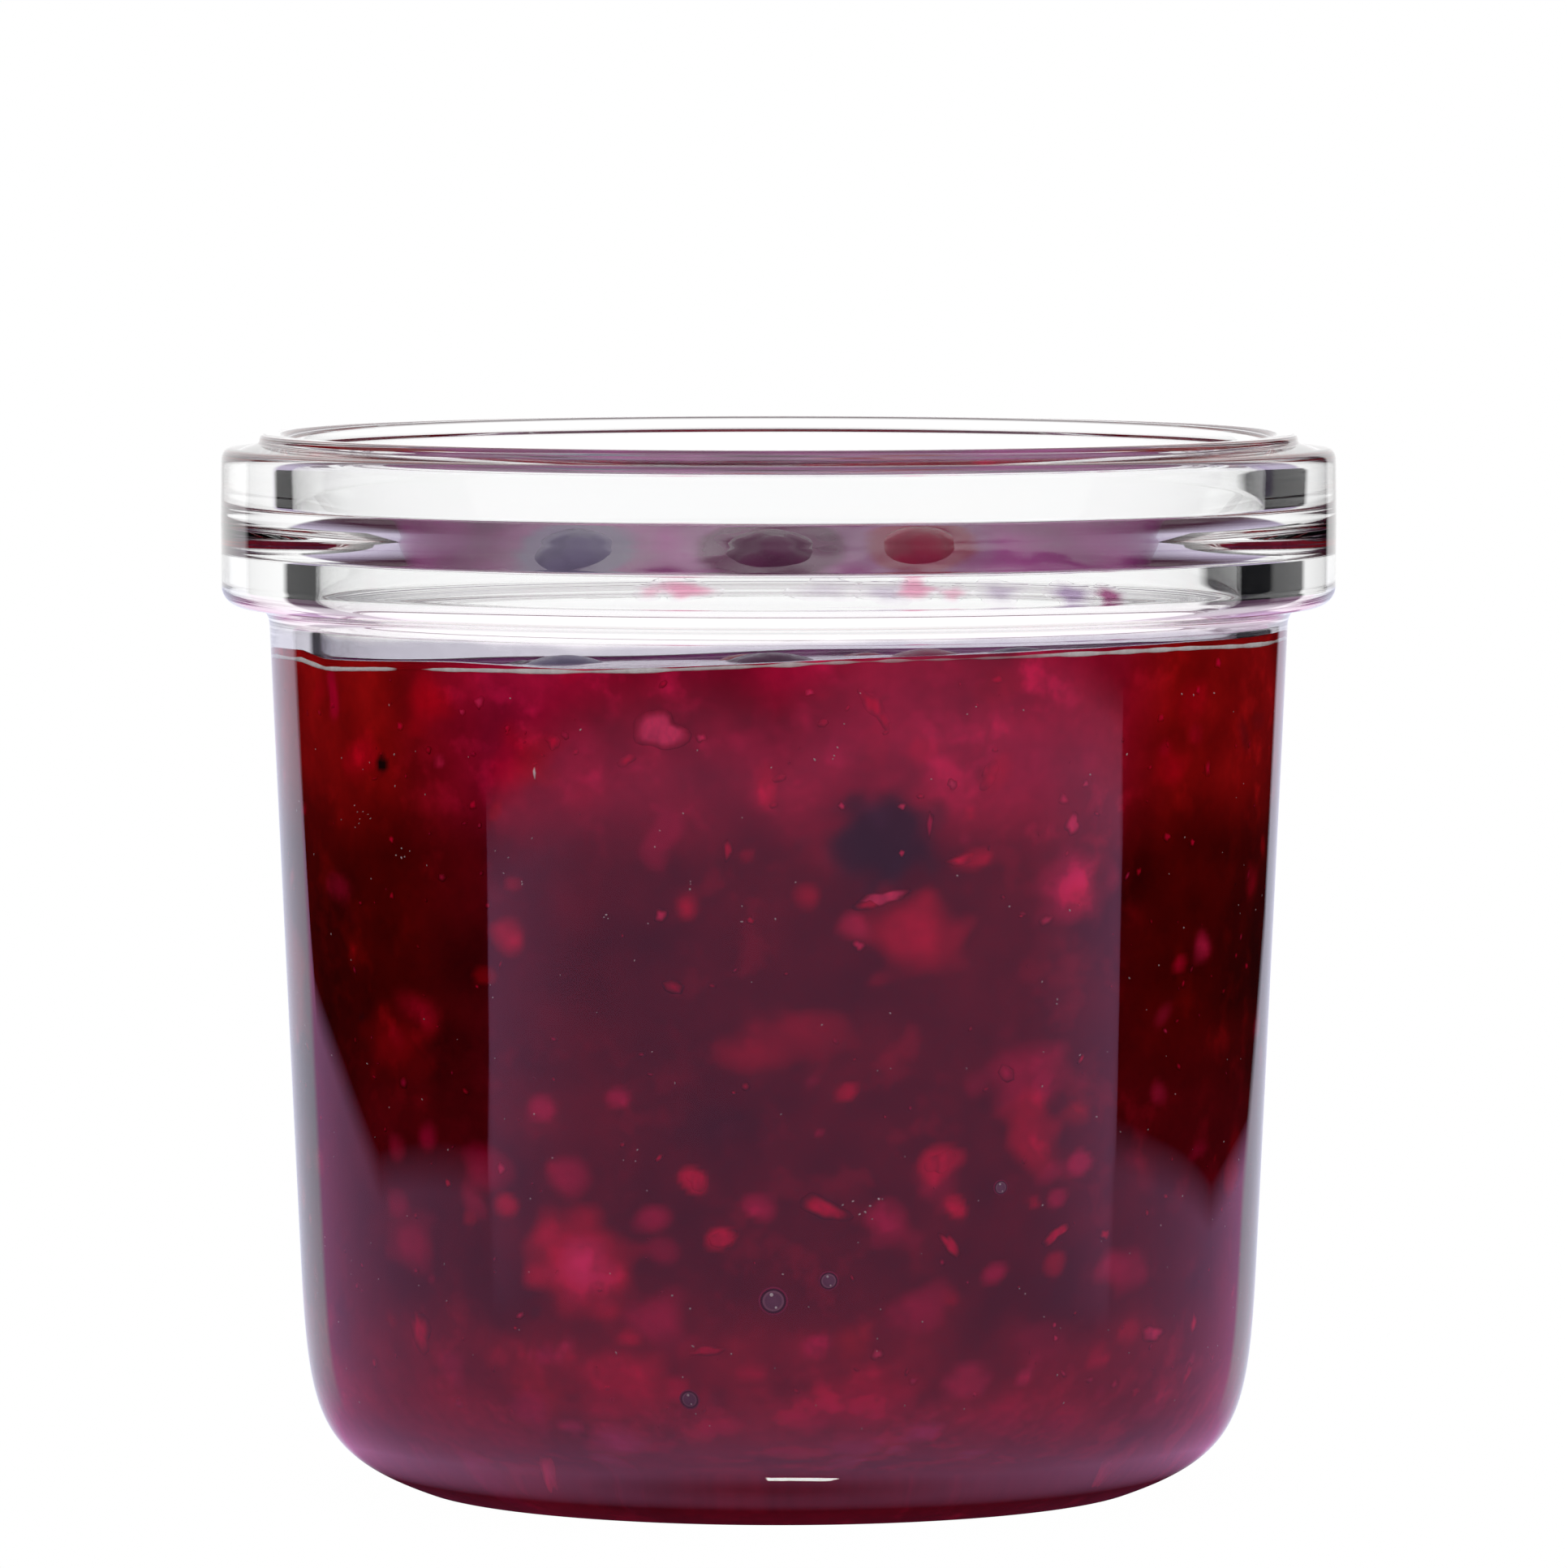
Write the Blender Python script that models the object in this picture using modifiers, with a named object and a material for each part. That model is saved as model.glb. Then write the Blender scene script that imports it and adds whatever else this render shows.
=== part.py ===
"""Clip top food jar: a short, wide jar of thick pressed glass, open, filled with berry jam.

The jar is one turned solid: flat foot ring, rounded heel, tapered wall, a heavy outer rim that a
clip holds on to, a raised sealing lip, and a stepped mouth that a lid drops into. The jam is a solid
up to its uneven level, and the berries that break its surface are solids of their own.

Blender 4.5, metres, +Z up, the jar's axis on Z and its foot on Z = 0. Sizes below are millimetres.
"""

import math

import bmesh
import bpy

MM = 0.001

# Outside of the jar, foot to lip.
FOOT_RADIUS = 28.3
FOOT_RING_WIDTH = 2.9
PUSH_UP = 1.7
UNDERSIDE_EASE = 1.5
UNDERSIDE_RISE_SHARE = 0.8
HEEL_HEIGHT = 20.0
HEEL_FOOT_SLOPE = math.radians(20.0)
HEEL_FOOT_REACH = 8.7
HEEL_WALL_REACH = 14.0
NECK_RADIUS = 39.5
NECK_HEIGHT = 67.1
WALL_TAPER = 0.0469
RIM_RADIUS = 43.2
RIM_CROWN = 0.05
RIM_BOTTOM = 68.4
RIM_BOTTOM_ROUND = 1.6
RIM_BOTTOM_TURN = 75.0
RIM_FILLET = ((0.7, -0.25), (0.1, -0.3))
RIM_FILLET_INSET = 0.2
SHOULDER_RADIUS = 42.3
SHOULDER_HEIGHT = 80.65
SHOULDER_ROUND = 1.1
SHOULDER_HANDLE_SHARE = 0.6
LIP_RADIUS = 40.25
LIP_FOOT_HEIGHT = 80.95
LIP_FOOT_SET = 0.1
LIP_OUTER_ROUND = 0.5
HEIGHT = 81.7

# Inside of the jar, floor to lip.
FLOOR_HEIGHT = 6.5
FLOOR_ROUND = 8.0
THROAT_RADIUS = 35.9
THROAT_BOTTOM = 64.0
STEP_BOTTOM = 72.4
STEP_TOP = 76.2
STEP_DEPTH = 1.9
STEP_ROUND = 0.25
LIP_INNER_ROUND = 1.2
LIP_INNER_SET = 0.1

# Jam and berries.
GAP = 0.3
JAM_LEVEL = 64.8
JAM_RISE_TO_RIGHT = 0.024
JAM_RISE_TO_BACK = -0.016
JAM_RIPPLE = 0.16
JAM_RIPPLE_WAVE = 5.5
JAM_RIPPLE_PHASE = (0.7, -0.4)
FILL_ABOVE_THROAT = 4.0
LEVEL_GRID_CELLS = 20
LEVEL_BLOCK_MARGIN = 2.0
LEVEL_BLOCK_HEIGHT = 12.0
BERRY_DEPTH_SHARE = 0.92

AROUND = 64
ARC_STEPS = 4
CORNER_STEPS = 3
FLOOR_ROUND_STEPS = 6
HEEL_STEPS = 8
BERRY_SEGMENTS = 16
BERRY_RINGS = 10
MERGE_DISTANCE = 0.01

# name: (x, y, width, height, share of the height that stands above the jam, turn in degrees, colour)
BERRIES = {
    "berry_red": (11.3, -9.6, 10.4, 6.8, 0.14, 90, (0.32, 0.008, 0.016)),
    "berry_slate": (-16.2, -8.8, 11.6, 8.0, 0.13, 90, (0.030, 0.022, 0.040)),
    "berry_dark": (-0.6, -9.6, 13.0, 9.0, 0.11, 0, (0.030, 0.003, 0.012)),
    "berry_back_left": (-19.5, 10.5, 9.8, 8.0, 0.07, 20, (0.035, 0.006, 0.018)),
    "berry_back_mid": (-2.6, 17.8, 9.0, 7.2, 0.08, 60, (0.27, 0.006, 0.018)),
    "berry_back_right": (19.2, 13.6, 10.6, 8.4, 0.06, 45, (0.028, 0.018, 0.034)),
    "berry_middle": (6.8, 3.6, 9.2, 7.4, 0.06, 15, (0.16, 0.004, 0.018)),
}

GLASS = (0.93, 0.96, 0.955)
GLASS_ROUGHNESS = 0.02
JAM = (0.105, 0.0012, 0.0075)
JAM_ROUGHNESS = 0.18
SKIN_ROUGHNESS = 0.25


def arc(centre, radius, start, end, steps=ARC_STEPS):
    """Points on a circle's arc, in (radius from the jar's axis, height), angles in degrees."""
    angles = [math.radians(start + (end - start) * k / steps) for k in range(steps + 1)]
    return [(centre[0] + radius * math.cos(a), centre[1] + radius * math.sin(a)) for a in angles]


def curve(start, start_handle, end_handle, end, steps=ARC_STEPS):
    """Points on a cubic Bezier curve."""
    points = []
    for k in range(steps + 1):
        t = k / steps
        weights = ((1 - t) ** 3, 3 * (1 - t) ** 2 * t, 3 * (1 - t) * t * t, t**3)
        corners = (start, start_handle, end_handle, end)
        points.append(tuple(sum(w * c[axis] for w, c in zip(weights, corners)) for axis in (0, 1)))
    return points


def outer_wall(height):
    """Radius of the jar's tapered outside at a height between heel and neck."""
    return NECK_RADIUS - WALL_TAPER * (NECK_HEIGHT - height)


def inner_wall(height):
    """Radius of the jar's inside between the floor's round and the mouth's step."""
    return THROAT_RADIUS - WALL_TAPER * max(0.0, THROAT_BOTTOM - height)


def rounded_corner(before, corner, after, radius):
    """A corner between two straight runs, rounded over this length on each of them."""

    def towards(target):
        reach = math.dist(corner, target)
        return tuple(c + (t - c) * radius / reach for c, t in zip(corner, target))

    return curve(towards(before), corner, corner, towards(after), CORNER_STEPS)


def inside_profile(clearance=0.0):
    """The jar's floor and throat, bottom to top, moved in by a clearance."""
    round_top = FLOOR_HEIGHT + FLOOR_ROUND
    centre = (inner_wall(round_top) - FLOOR_ROUND, round_top)
    bend_end = -math.degrees(WALL_TAPER)
    floor_round = arc(centre, FLOOR_ROUND - clearance, -90, bend_end, FLOOR_ROUND_STEPS)
    throat = (inner_wall(THROAT_BOTTOM) - clearance, THROAT_BOTTOM)
    return [(0.0, FLOOR_HEIGHT + clearance), *floor_round, throat]


def mouth_profile():
    """The step that a lid drops on to, and the inside of the lip, bottom to top."""
    below = (THROAT_RADIUS, THROAT_BOTTOM)
    step_foot = (THROAT_RADIUS, STEP_BOTTOM)
    mouth = THROAT_RADIUS + STEP_DEPTH
    step_head = (mouth, STEP_TOP)
    lip_start = (mouth + LIP_INNER_SET, HEIGHT - LIP_INNER_ROUND)
    lip_centre = (lip_start[0] + LIP_INNER_ROUND, lip_start[1])
    return [
        *rounded_corner(below, step_foot, step_head, STEP_ROUND),
        *rounded_corner(step_foot, step_head, lip_start, STEP_ROUND),
        *arc(lip_centre, LIP_INNER_ROUND, 180, 90),
    ]


def rim_profile():
    """The lip's outside, the shoulder, the heavy rim and its underside, top to bottom."""
    lip_centre = (LIP_RADIUS - LIP_OUTER_ROUND, HEIGHT - LIP_OUTER_ROUND)
    shoulder = (SHOULDER_RADIUS, SHOULDER_HEIGHT)
    side_top = (RIM_RADIUS, SHOULDER_HEIGHT - SHOULDER_ROUND)
    shoulder_slope = (SHOULDER_HEIGHT - LIP_FOOT_HEIGHT) / (SHOULDER_RADIUS - LIP_RADIUS)
    handle = SHOULDER_HANDLE_SHARE * SHOULDER_ROUND
    bottom_centre = (RIM_RADIUS - RIM_BOTTOM_ROUND, RIM_BOTTOM + RIM_BOTTOM_ROUND)
    fillet = [(NECK_RADIUS + out, RIM_BOTTOM + up) for out, up in RIM_FILLET]
    return [
        *arc(lip_centre, LIP_OUTER_ROUND, 90, 0),
        (LIP_RADIUS + LIP_FOOT_SET, LIP_FOOT_HEIGHT),
        *curve(
            shoulder,
            (SHOULDER_RADIUS + handle, SHOULDER_HEIGHT + handle * shoulder_slope),
            (side_top[0], side_top[1] + handle),
            side_top,
        ),
        (RIM_RADIUS + RIM_CROWN, (side_top[1] + bottom_centre[1]) / 2),
        *arc(bottom_centre, RIM_BOTTOM_ROUND, 0, -RIM_BOTTOM_TURN),
        *curve(
            (bottom_centre[0] - RIM_FILLET_INSET, RIM_BOTTOM),
            *fillet,
            (NECK_RADIUS, NECK_HEIGHT),
        ),
    ]


def heel_profile():
    """The rounded heel from the tapered wall to the foot ring, then the pushed-up underside."""
    heel_top = (outer_wall(HEEL_HEIGHT), HEEL_HEIGHT)
    wall_handle = (outer_wall(HEEL_HEIGHT - HEEL_WALL_REACH), HEEL_HEIGHT - HEEL_WALL_REACH)
    foot_handle = (
        FOOT_RADIUS + HEEL_FOOT_REACH * math.cos(HEEL_FOOT_SLOPE),
        HEEL_FOOT_REACH * math.sin(HEEL_FOOT_SLOPE),
    )
    ring_inside = FOOT_RADIUS - FOOT_RING_WIDTH
    return [
        *curve(heel_top, wall_handle, foot_handle, (FOOT_RADIUS, 0.0), HEEL_STEPS),
        *curve(
            (ring_inside, 0.0),
            (ring_inside - UNDERSIDE_EASE, 0.0),
            (ring_inside - 2 * UNDERSIDE_EASE, UNDERSIDE_RISE_SHARE * PUSH_UP),
            (0.0, PUSH_UP),
        ),
    ]


def jar_profile():
    """The jar's whole section: up its inside, over the lip, down its outside and back to the axis."""
    return inside_profile() + mouth_profile() + rim_profile() + heel_profile()


def jam_level(x, y):
    """Height of the jam's surface: a slightly tilted plane with a slow ripple."""
    along, across = JAM_RIPPLE_PHASE
    ripple = math.sin(x / JAM_RIPPLE_WAVE + along) * math.cos(y / JAM_RIPPLE_WAVE + across)
    return JAM_LEVEL + JAM_RISE_TO_RIGHT * x + JAM_RISE_TO_BACK * y + JAM_RIPPLE * ripple


def collection(name, parent):
    """A new collection inside another."""
    made = bpy.data.collections.new(name)
    parent.children.link(made)
    return made


def finish(name, colour, roughness, transmission=0.0):
    """A Principled material of one colour."""
    material = bpy.data.materials.new(name)
    material.use_nodes = True
    shader = material.node_tree.nodes["Principled BSDF"]
    shader.inputs["Base Color"].default_value = (*colour, 1.0)
    shader.inputs["Roughness"].default_value = roughness
    shader.inputs["Metallic"].default_value = 0.0
    shader.inputs["Transmission Weight"].default_value = transmission
    return material


def mesh_object(name, mesh, home, material=None):
    """An object of a mesh in a collection."""
    made = bpy.data.objects.new(name, mesh)
    home.objects.link(made)
    if material:
        mesh.materials.append(material)
    return made


def turned(name, profile, home, material=None):
    """A solid turned from a profile of (radius, height) that starts and ends on the axis."""
    mesh = bpy.data.meshes.new(name)
    points = [(radius * MM, 0.0, height * MM) for radius, height in profile]
    mesh.from_pydata(points, [(k, k + 1) for k in range(len(points) - 1)], [])
    made = mesh_object(name, mesh, home, material)
    screw = made.modifiers.new("Turn", "SCREW")
    screw.axis = "Z"
    screw.steps = AROUND
    screw.render_steps = AROUND
    screw.use_merge_vertices = True
    screw.merge_threshold = MERGE_DISTANCE * MM
    return made


def subtract(target, cutter):
    """Cuts one solid out of another."""
    cut = target.modifiers.new("Cut " + cutter.name, "BOOLEAN")
    cut.operation = "DIFFERENCE"
    cut.solver = "EXACT"
    cut.object = cutter


def as_cutter(cutter):
    """Keeps a cutting shape out of the part."""
    cutter.hide_render = True
    cutter.display_type = "WIRE"
    return cutter


def level_block(home):
    """A block whose underside is the jam's surface."""
    mesh = bpy.data.meshes.new("level_block")
    shape = bmesh.new()
    half = THROAT_RADIUS + LEVEL_BLOCK_MARGIN
    bmesh.ops.create_grid(
        shape, x_segments=LEVEL_GRID_CELLS, y_segments=LEVEL_GRID_CELLS, size=half * MM
    )
    for vertex in shape.verts:
        vertex.co.z = jam_level(vertex.co.x / MM, vertex.co.y / MM) * MM
    underside = list(shape.faces)
    lid = bmesh.ops.extrude_face_region(shape, geom=underside)["geom"]
    for vertex in lid:
        if isinstance(vertex, bmesh.types.BMVert):
            vertex.co.z = (JAM_LEVEL + LEVEL_BLOCK_HEIGHT) * MM
    bmesh.ops.recalc_face_normals(shape, faces=shape.faces)
    shape.to_mesh(mesh)
    shape.free()
    return as_cutter(mesh_object("level_block", mesh, home))


def berry(name, home, grow=0.0, material=None):
    """One berry, a slightly flattened ball sunk in the jam, grown all round for its bed."""
    x, y, width, height, share, turn, _ = BERRIES[name]
    mesh = bpy.data.meshes.new(name)
    shape = bmesh.new()
    bmesh.ops.create_uvsphere(shape, u_segments=BERRY_SEGMENTS, v_segments=BERRY_RINGS, radius=1.0)
    halves = (width / 2, BERRY_DEPTH_SHARE * width / 2, height / 2)
    size = tuple((half + grow) * MM for half in halves)
    bmesh.ops.scale(shape, vec=size, verts=shape.verts)
    shape.to_mesh(mesh)
    shape.free()
    made = mesh_object(name, mesh, home, material)
    centre = jam_level(x, y) + (share - 0.5) * height
    made.location = (x * MM, y * MM, centre * MM)
    made.rotation_euler = (0.0, 0.0, math.radians(turn))
    return made


def make_jar(home):
    """The glass jar."""
    glass = finish("clear_glass", GLASS, GLASS_ROUGHNESS, transmission=1.0)
    return turned("jar", jar_profile(), home, glass)


def make_jam(home, cutters):
    """The jam: a turned fill cut to its uneven level and hollowed for the berries."""
    fill = inside_profile(GAP)
    fill_top = THROAT_BOTTOM + FILL_ABOVE_THROAT
    fill += [(THROAT_RADIUS - GAP, fill_top), (0.0, fill_top)]
    jam = turned("jam", fill, home, finish("berry_jam", JAM, JAM_ROUGHNESS))
    subtract(jam, level_block(cutters))
    for name in BERRIES:
        bed = as_cutter(berry(name, cutters, grow=GAP))
        bed.name = "bed_of_" + name
        subtract(jam, bed)
    return jam


def make_berries(home):
    """The berries that break the jam's surface."""
    for name, values in BERRIES.items():
        skin = finish(name + "_skin", values[-1], SKIN_ROUGHNESS)
        berry(name, home, material=skin)


def main():
    """Builds the part in an empty scene."""
    for old in list(bpy.data.objects):
        bpy.data.objects.remove(old)
    scene = bpy.context.scene
    part = collection("clip_top_jar", scene.collection)
    cutters = collection("cutters", scene.collection)
    make_jar(part)
    make_jam(part, cutters)
    make_berries(part)


main()
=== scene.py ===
"""Clip top jar of berry jam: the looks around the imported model.

A short, wide jar of thick pressed glass stands open, filled with jam almost to the step that its lid
drops on to. The glass is turned again from the same sizes with a fine section, so that it refracts
cleanly. The jam is one closed body that reaches just into the glass. Its colour is painted from a
field of soft lumps, and crisp bits of fruit, seeds and bubbles are meshes of their own.

Blender 4.5, metres, +Z up, the jar's axis on Z and its foot on Z = 0. Sizes below are millimetres.
"""

from __future__ import annotations

import logging
import math
from dataclasses import dataclass, field
from enum import Enum

import bpy
import numpy as np
from numpy.typing import NDArray
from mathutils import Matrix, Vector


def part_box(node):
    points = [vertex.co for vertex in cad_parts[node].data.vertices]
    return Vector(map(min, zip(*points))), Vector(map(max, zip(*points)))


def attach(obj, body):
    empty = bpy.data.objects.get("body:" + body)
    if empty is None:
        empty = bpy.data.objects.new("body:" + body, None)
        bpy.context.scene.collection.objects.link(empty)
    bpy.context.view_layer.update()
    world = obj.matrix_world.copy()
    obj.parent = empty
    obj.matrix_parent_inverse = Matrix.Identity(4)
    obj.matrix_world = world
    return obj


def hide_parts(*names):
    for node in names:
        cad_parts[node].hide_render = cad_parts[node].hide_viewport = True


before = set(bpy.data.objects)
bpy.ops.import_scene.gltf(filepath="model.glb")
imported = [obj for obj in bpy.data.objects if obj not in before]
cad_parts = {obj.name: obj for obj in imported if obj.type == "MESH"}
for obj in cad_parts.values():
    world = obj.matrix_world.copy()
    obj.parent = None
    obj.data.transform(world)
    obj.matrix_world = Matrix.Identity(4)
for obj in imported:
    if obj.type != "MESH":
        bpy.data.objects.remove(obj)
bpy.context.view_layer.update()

Points = NDArray[np.float64]
Colour = tuple[float, float, float]

MM = 0.001
BODY = "root"
GLASS_INDEX = 1.5
TURNED_BACK = 0.6

log = logging.getLogger("clip_top_jar")


# --------------------------------------------------------------------------- curves and grids


def arc(centre: tuple[float, float], radius: float, start: float, end: float, count: int) -> Points:
    """Points on a circle's arc.

    Args:
        centre: Radius and height of the circle's centre, in millimetres.
        radius: The circle's radius.
        start: Angle of the first point in degrees, 0 outwards and 90 upwards.
        end: Angle of the last point.
        count: How many points.

    Returns:
        One row of (radius, height) for each point.
    """
    angle = np.radians(np.linspace(start, end, count))
    return np.stack([centre[0] + radius * np.cos(angle), centre[1] + radius * np.sin(angle)], 1)


def bezier(corners: list[tuple[float, float]], count: int) -> Points:
    """Points on a cubic Bezier curve, the sum of its four corners weighted by (1-t)^3 to t^3.

    Args:
        corners: Start, start handle, end handle and end, as (radius, height).
        count: How many points.

    Returns:
        One row of (radius, height) for each point.
    """
    t = np.linspace(0.0, 1.0, count)[:, None]
    weights = [(1 - t) ** 3, 3 * (1 - t) ** 2 * t, 3 * (1 - t) * t**2, t**3]
    return sum(w * np.array(c) for w, c in zip(weights, corners))


def graded(profile: Points, longest: float, density: float) -> Points:
    """Splits each long run of a profile, with the shortest steps beside its ends.

    Shading normals then turn only where the section does. Of n steps, step k ends at
    (1 - cos(pi k / n)) / 2
    of the run, and n grows with the root of its length.

    Args:
        profile: Rows of (radius, height).
        longest: Length in millimetres from which a run is split.
        density: Steps for a run of one millimetre.

    Returns:
        The profile with points added on its straight runs.
    """
    gaps = np.linalg.norm(np.diff(profile, axis=0), axis=1)
    parts = np.where(gaps > longest, np.ceil(density * np.sqrt(gaps)), 1).astype(int)
    runs = [k + (1 - np.cos(np.pi * np.arange(n) / n)) / 2 for k, n in enumerate(parts)]
    stations = np.concatenate([*runs, [len(gaps)]])
    rows = np.arange(len(profile))
    return np.stack([np.interp(stations, rows, profile[:, axis]) for axis in (0, 1)], 1)


def without_repeats(profile: Points, nearest: float = 1e-4) -> Points:
    """A profile with each point dropped that lies on the one before it."""
    gaps = np.linalg.norm(np.diff(profile, axis=0), axis=1)
    return profile[np.concatenate([[True], gaps > nearest])]


def rounded_step(before: Points, corner: Points, after: Points, reach: float, count: int) -> Points:
    """A corner between two straight runs, rounded over a length on each of them.

    Args:
        before: A point on the first run.
        corner: Where the two runs meet.
        after: A point on the second run.
        reach: How far from the corner the round starts.
        count: How many points.

    Returns:
        Rows of (radius, height) along the round.
    """
    start = corner + (before - corner) * reach / np.linalg.norm(before - corner)
    end = corner + (after - corner) * reach / np.linalg.norm(after - corner)
    return bezier([tuple(start), tuple(corner), tuple(corner), tuple(end)], count)


def smoothstep(low: float, high: float, value: Points) -> Points:
    """Rises smoothly from 0 at low to 1 at high, as 3t^2 - 2t^3."""
    t = np.clip((value - low) / (high - low), 0.0, 1.0)
    return t * t * (3.0 - 2.0 * t)


def blended(base: Points, other: Points, share: Points) -> Points:
    """Rows of one colour array moved towards another by a share for each row."""
    return base + (other - base) * share[:, None]


@dataclass(frozen=True)
class WaveField:
    """A smooth random field: a sum of plane waves of about one length in random directions."""

    seed: int
    wavelength: float
    waves: int = 28
    spread: float = 0.35
    size: float = 0.6

    def __call__(self, points: Points) -> Points:
        """The field at some points.

        Args:
            points: Rows of (x, y, z) in millimetres.

        Returns:
            One value for each point, mostly from -1 to 1, with 0 as its mean.
        """
        rng = np.random.default_rng(self.seed)
        direction = rng.normal(size=(self.waves, 3))
        direction /= np.linalg.norm(direction, axis=1)[:, None]
        lengths = self.wavelength * rng.uniform(1 - self.spread, 1 + self.spread, self.waves)
        phase = rng.uniform(0, 2 * np.pi, self.waves)
        turns = points @ (direction / lengths[:, None]).T * 2 * np.pi + phase
        return np.sin(turns).sum(1) * math.sqrt(2.0 / self.waves) * self.size


def grid_faces(rows: int, columns: int, first: int = 0) -> NDArray[np.int64]:
    """Quads between the rows of a grid whose columns close on themselves.

    Args:
        rows: How many rows of points.
        columns: How many points in each row.
        first: Index of the grid's first point.

    Returns:
        Four point indices for each quad.
    """
    row = np.arange(rows - 1)[:, None]
    column = np.arange(columns)[None]
    following = (column + 1) % columns
    corners = [row * columns + column, row * columns + following]
    corners += [(row + 1) * columns + following, (row + 1) * columns + column]
    return first + np.stack(corners, -1).reshape(-1, 4)


def pole_faces(pole: int, ring: NDArray[np.int64], up: bool) -> NDArray[np.int64]:
    """Triangles from a pole to the ring beside it."""
    following = np.roll(ring, -1)
    order = (ring, following) if up else (following, ring)
    return np.stack([np.full(len(ring), pole), *order], -1)


@dataclass
class Surface:
    """A mesh under construction: points in millimetres, quads, triangles and values at its points."""

    points: list[Points] = field(default_factory=list)
    quads: list[NDArray[np.int64]] = field(default_factory=list)
    triangles: list[NDArray[np.int64]] = field(default_factory=list)
    tones: list[Points] = field(default_factory=list)
    size: int = 0

    def add_turned(self, grid: Points, bottom: Points, top: Points) -> None:
        """Adds a closed shell: rings of points from bottom to top, and a pole at each end.

        Args:
            grid: Points as (ring, place around, xyz), anticlockwise seen from above.
            bottom: The pole below the first ring.
            top: The pole above the last ring.
        """
        rows, columns, _ = grid.shape
        count = rows * columns
        self.points += [grid.reshape(-1, 3), bottom[None], top[None]]
        self.quads.append(grid_faces(rows, columns, self.size))
        ring = self.size + np.arange(columns)
        self.triangles.append(pole_faces(self.size + count, ring, up=False))
        last = ring + count - columns
        self.triangles.append(pole_faces(self.size + count + 1, last, up=True))
        self.size += count + 2

    def add_ring(self, radius: Points, height: Points, angle: Points) -> None:
        """Adds a closed ring that runs round the axis.

        Args:
            radius: Radius for each point of its section (rows) and each azimuth (columns).
            height: Height for each of them.
            angle: The azimuths.
        """
        rows, columns = radius.shape
        self.points.append(around(radius, height, angle).reshape(-1, 3))
        closed = self.size + np.arange(rows * columns).reshape(rows, columns)
        closed = np.concatenate([closed, closed[:1]])
        following = np.roll(closed, -1, 1)
        corners = [closed[:-1], closed[1:], following[1:], following[:-1]]
        self.quads.append(np.stack(corners, -1).reshape(-1, 4))
        self.triangles.append(np.zeros((0, 3), int))
        self.size += rows * columns

    def build(self, name: str) -> bpy.types.Object:
        """Puts the surface into a smooth mesh object at the origin.

        Args:
            name: The piece's name.

        Returns:
            The new object, linked to the scene.
        """
        points = np.concatenate(self.points) * MM
        quads = np.concatenate(self.quads)
        triangles = np.concatenate(self.triangles)
        mesh = bpy.data.meshes.new(name)
        mesh.vertices.add(len(points))
        mesh.vertices.foreach_set("co", points.astype(np.float32).ravel())
        corners = np.concatenate([quads.ravel(), triangles.ravel()])
        totals = np.concatenate([np.full(len(quads), 4), np.full(len(triangles), 3)])
        mesh.loops.add(len(corners))
        mesh.loops.foreach_set("vertex_index", corners.astype(np.int32))
        mesh.polygons.add(len(totals))
        starts = np.concatenate([[0], np.cumsum(totals)[:-1]])
        mesh.polygons.foreach_set("loop_start", starts.astype(np.int32))
        mesh.polygons.foreach_set("loop_total", totals.astype(np.int32))
        mesh.update(calc_edges=True)
        mesh.validate()
        mesh.shade_smooth()
        if self.tones:
            paint(mesh, np.concatenate(self.tones))
        piece = bpy.data.objects.new(name, mesh)
        bpy.context.scene.collection.objects.link(piece)
        return piece


TONE = "tone"


def paint(mesh: bpy.types.Mesh, colours: Points) -> None:
    """Stores a linear colour at each point of a mesh, for its material to read.

    Args:
        mesh: The mesh.
        colours: Rows of (red, green, blue).
    """
    layer = mesh.color_attributes.new(TONE, "FLOAT_COLOR", "POINT")
    rgba = np.ones((len(colours), 4), np.float32)
    rgba[:, :3] = colours
    layer.data.foreach_set("color", rgba.ravel())


def around(radius: Points, height: Points, angle: Points) -> Points:
    """Points at a radius, a height and an azimuth, 0 towards the front and positive to the right."""
    return np.stack([radius * np.sin(angle), -radius * np.cos(angle), height], -1)


# --------------------------------------------------------------------------- finishes


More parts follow.
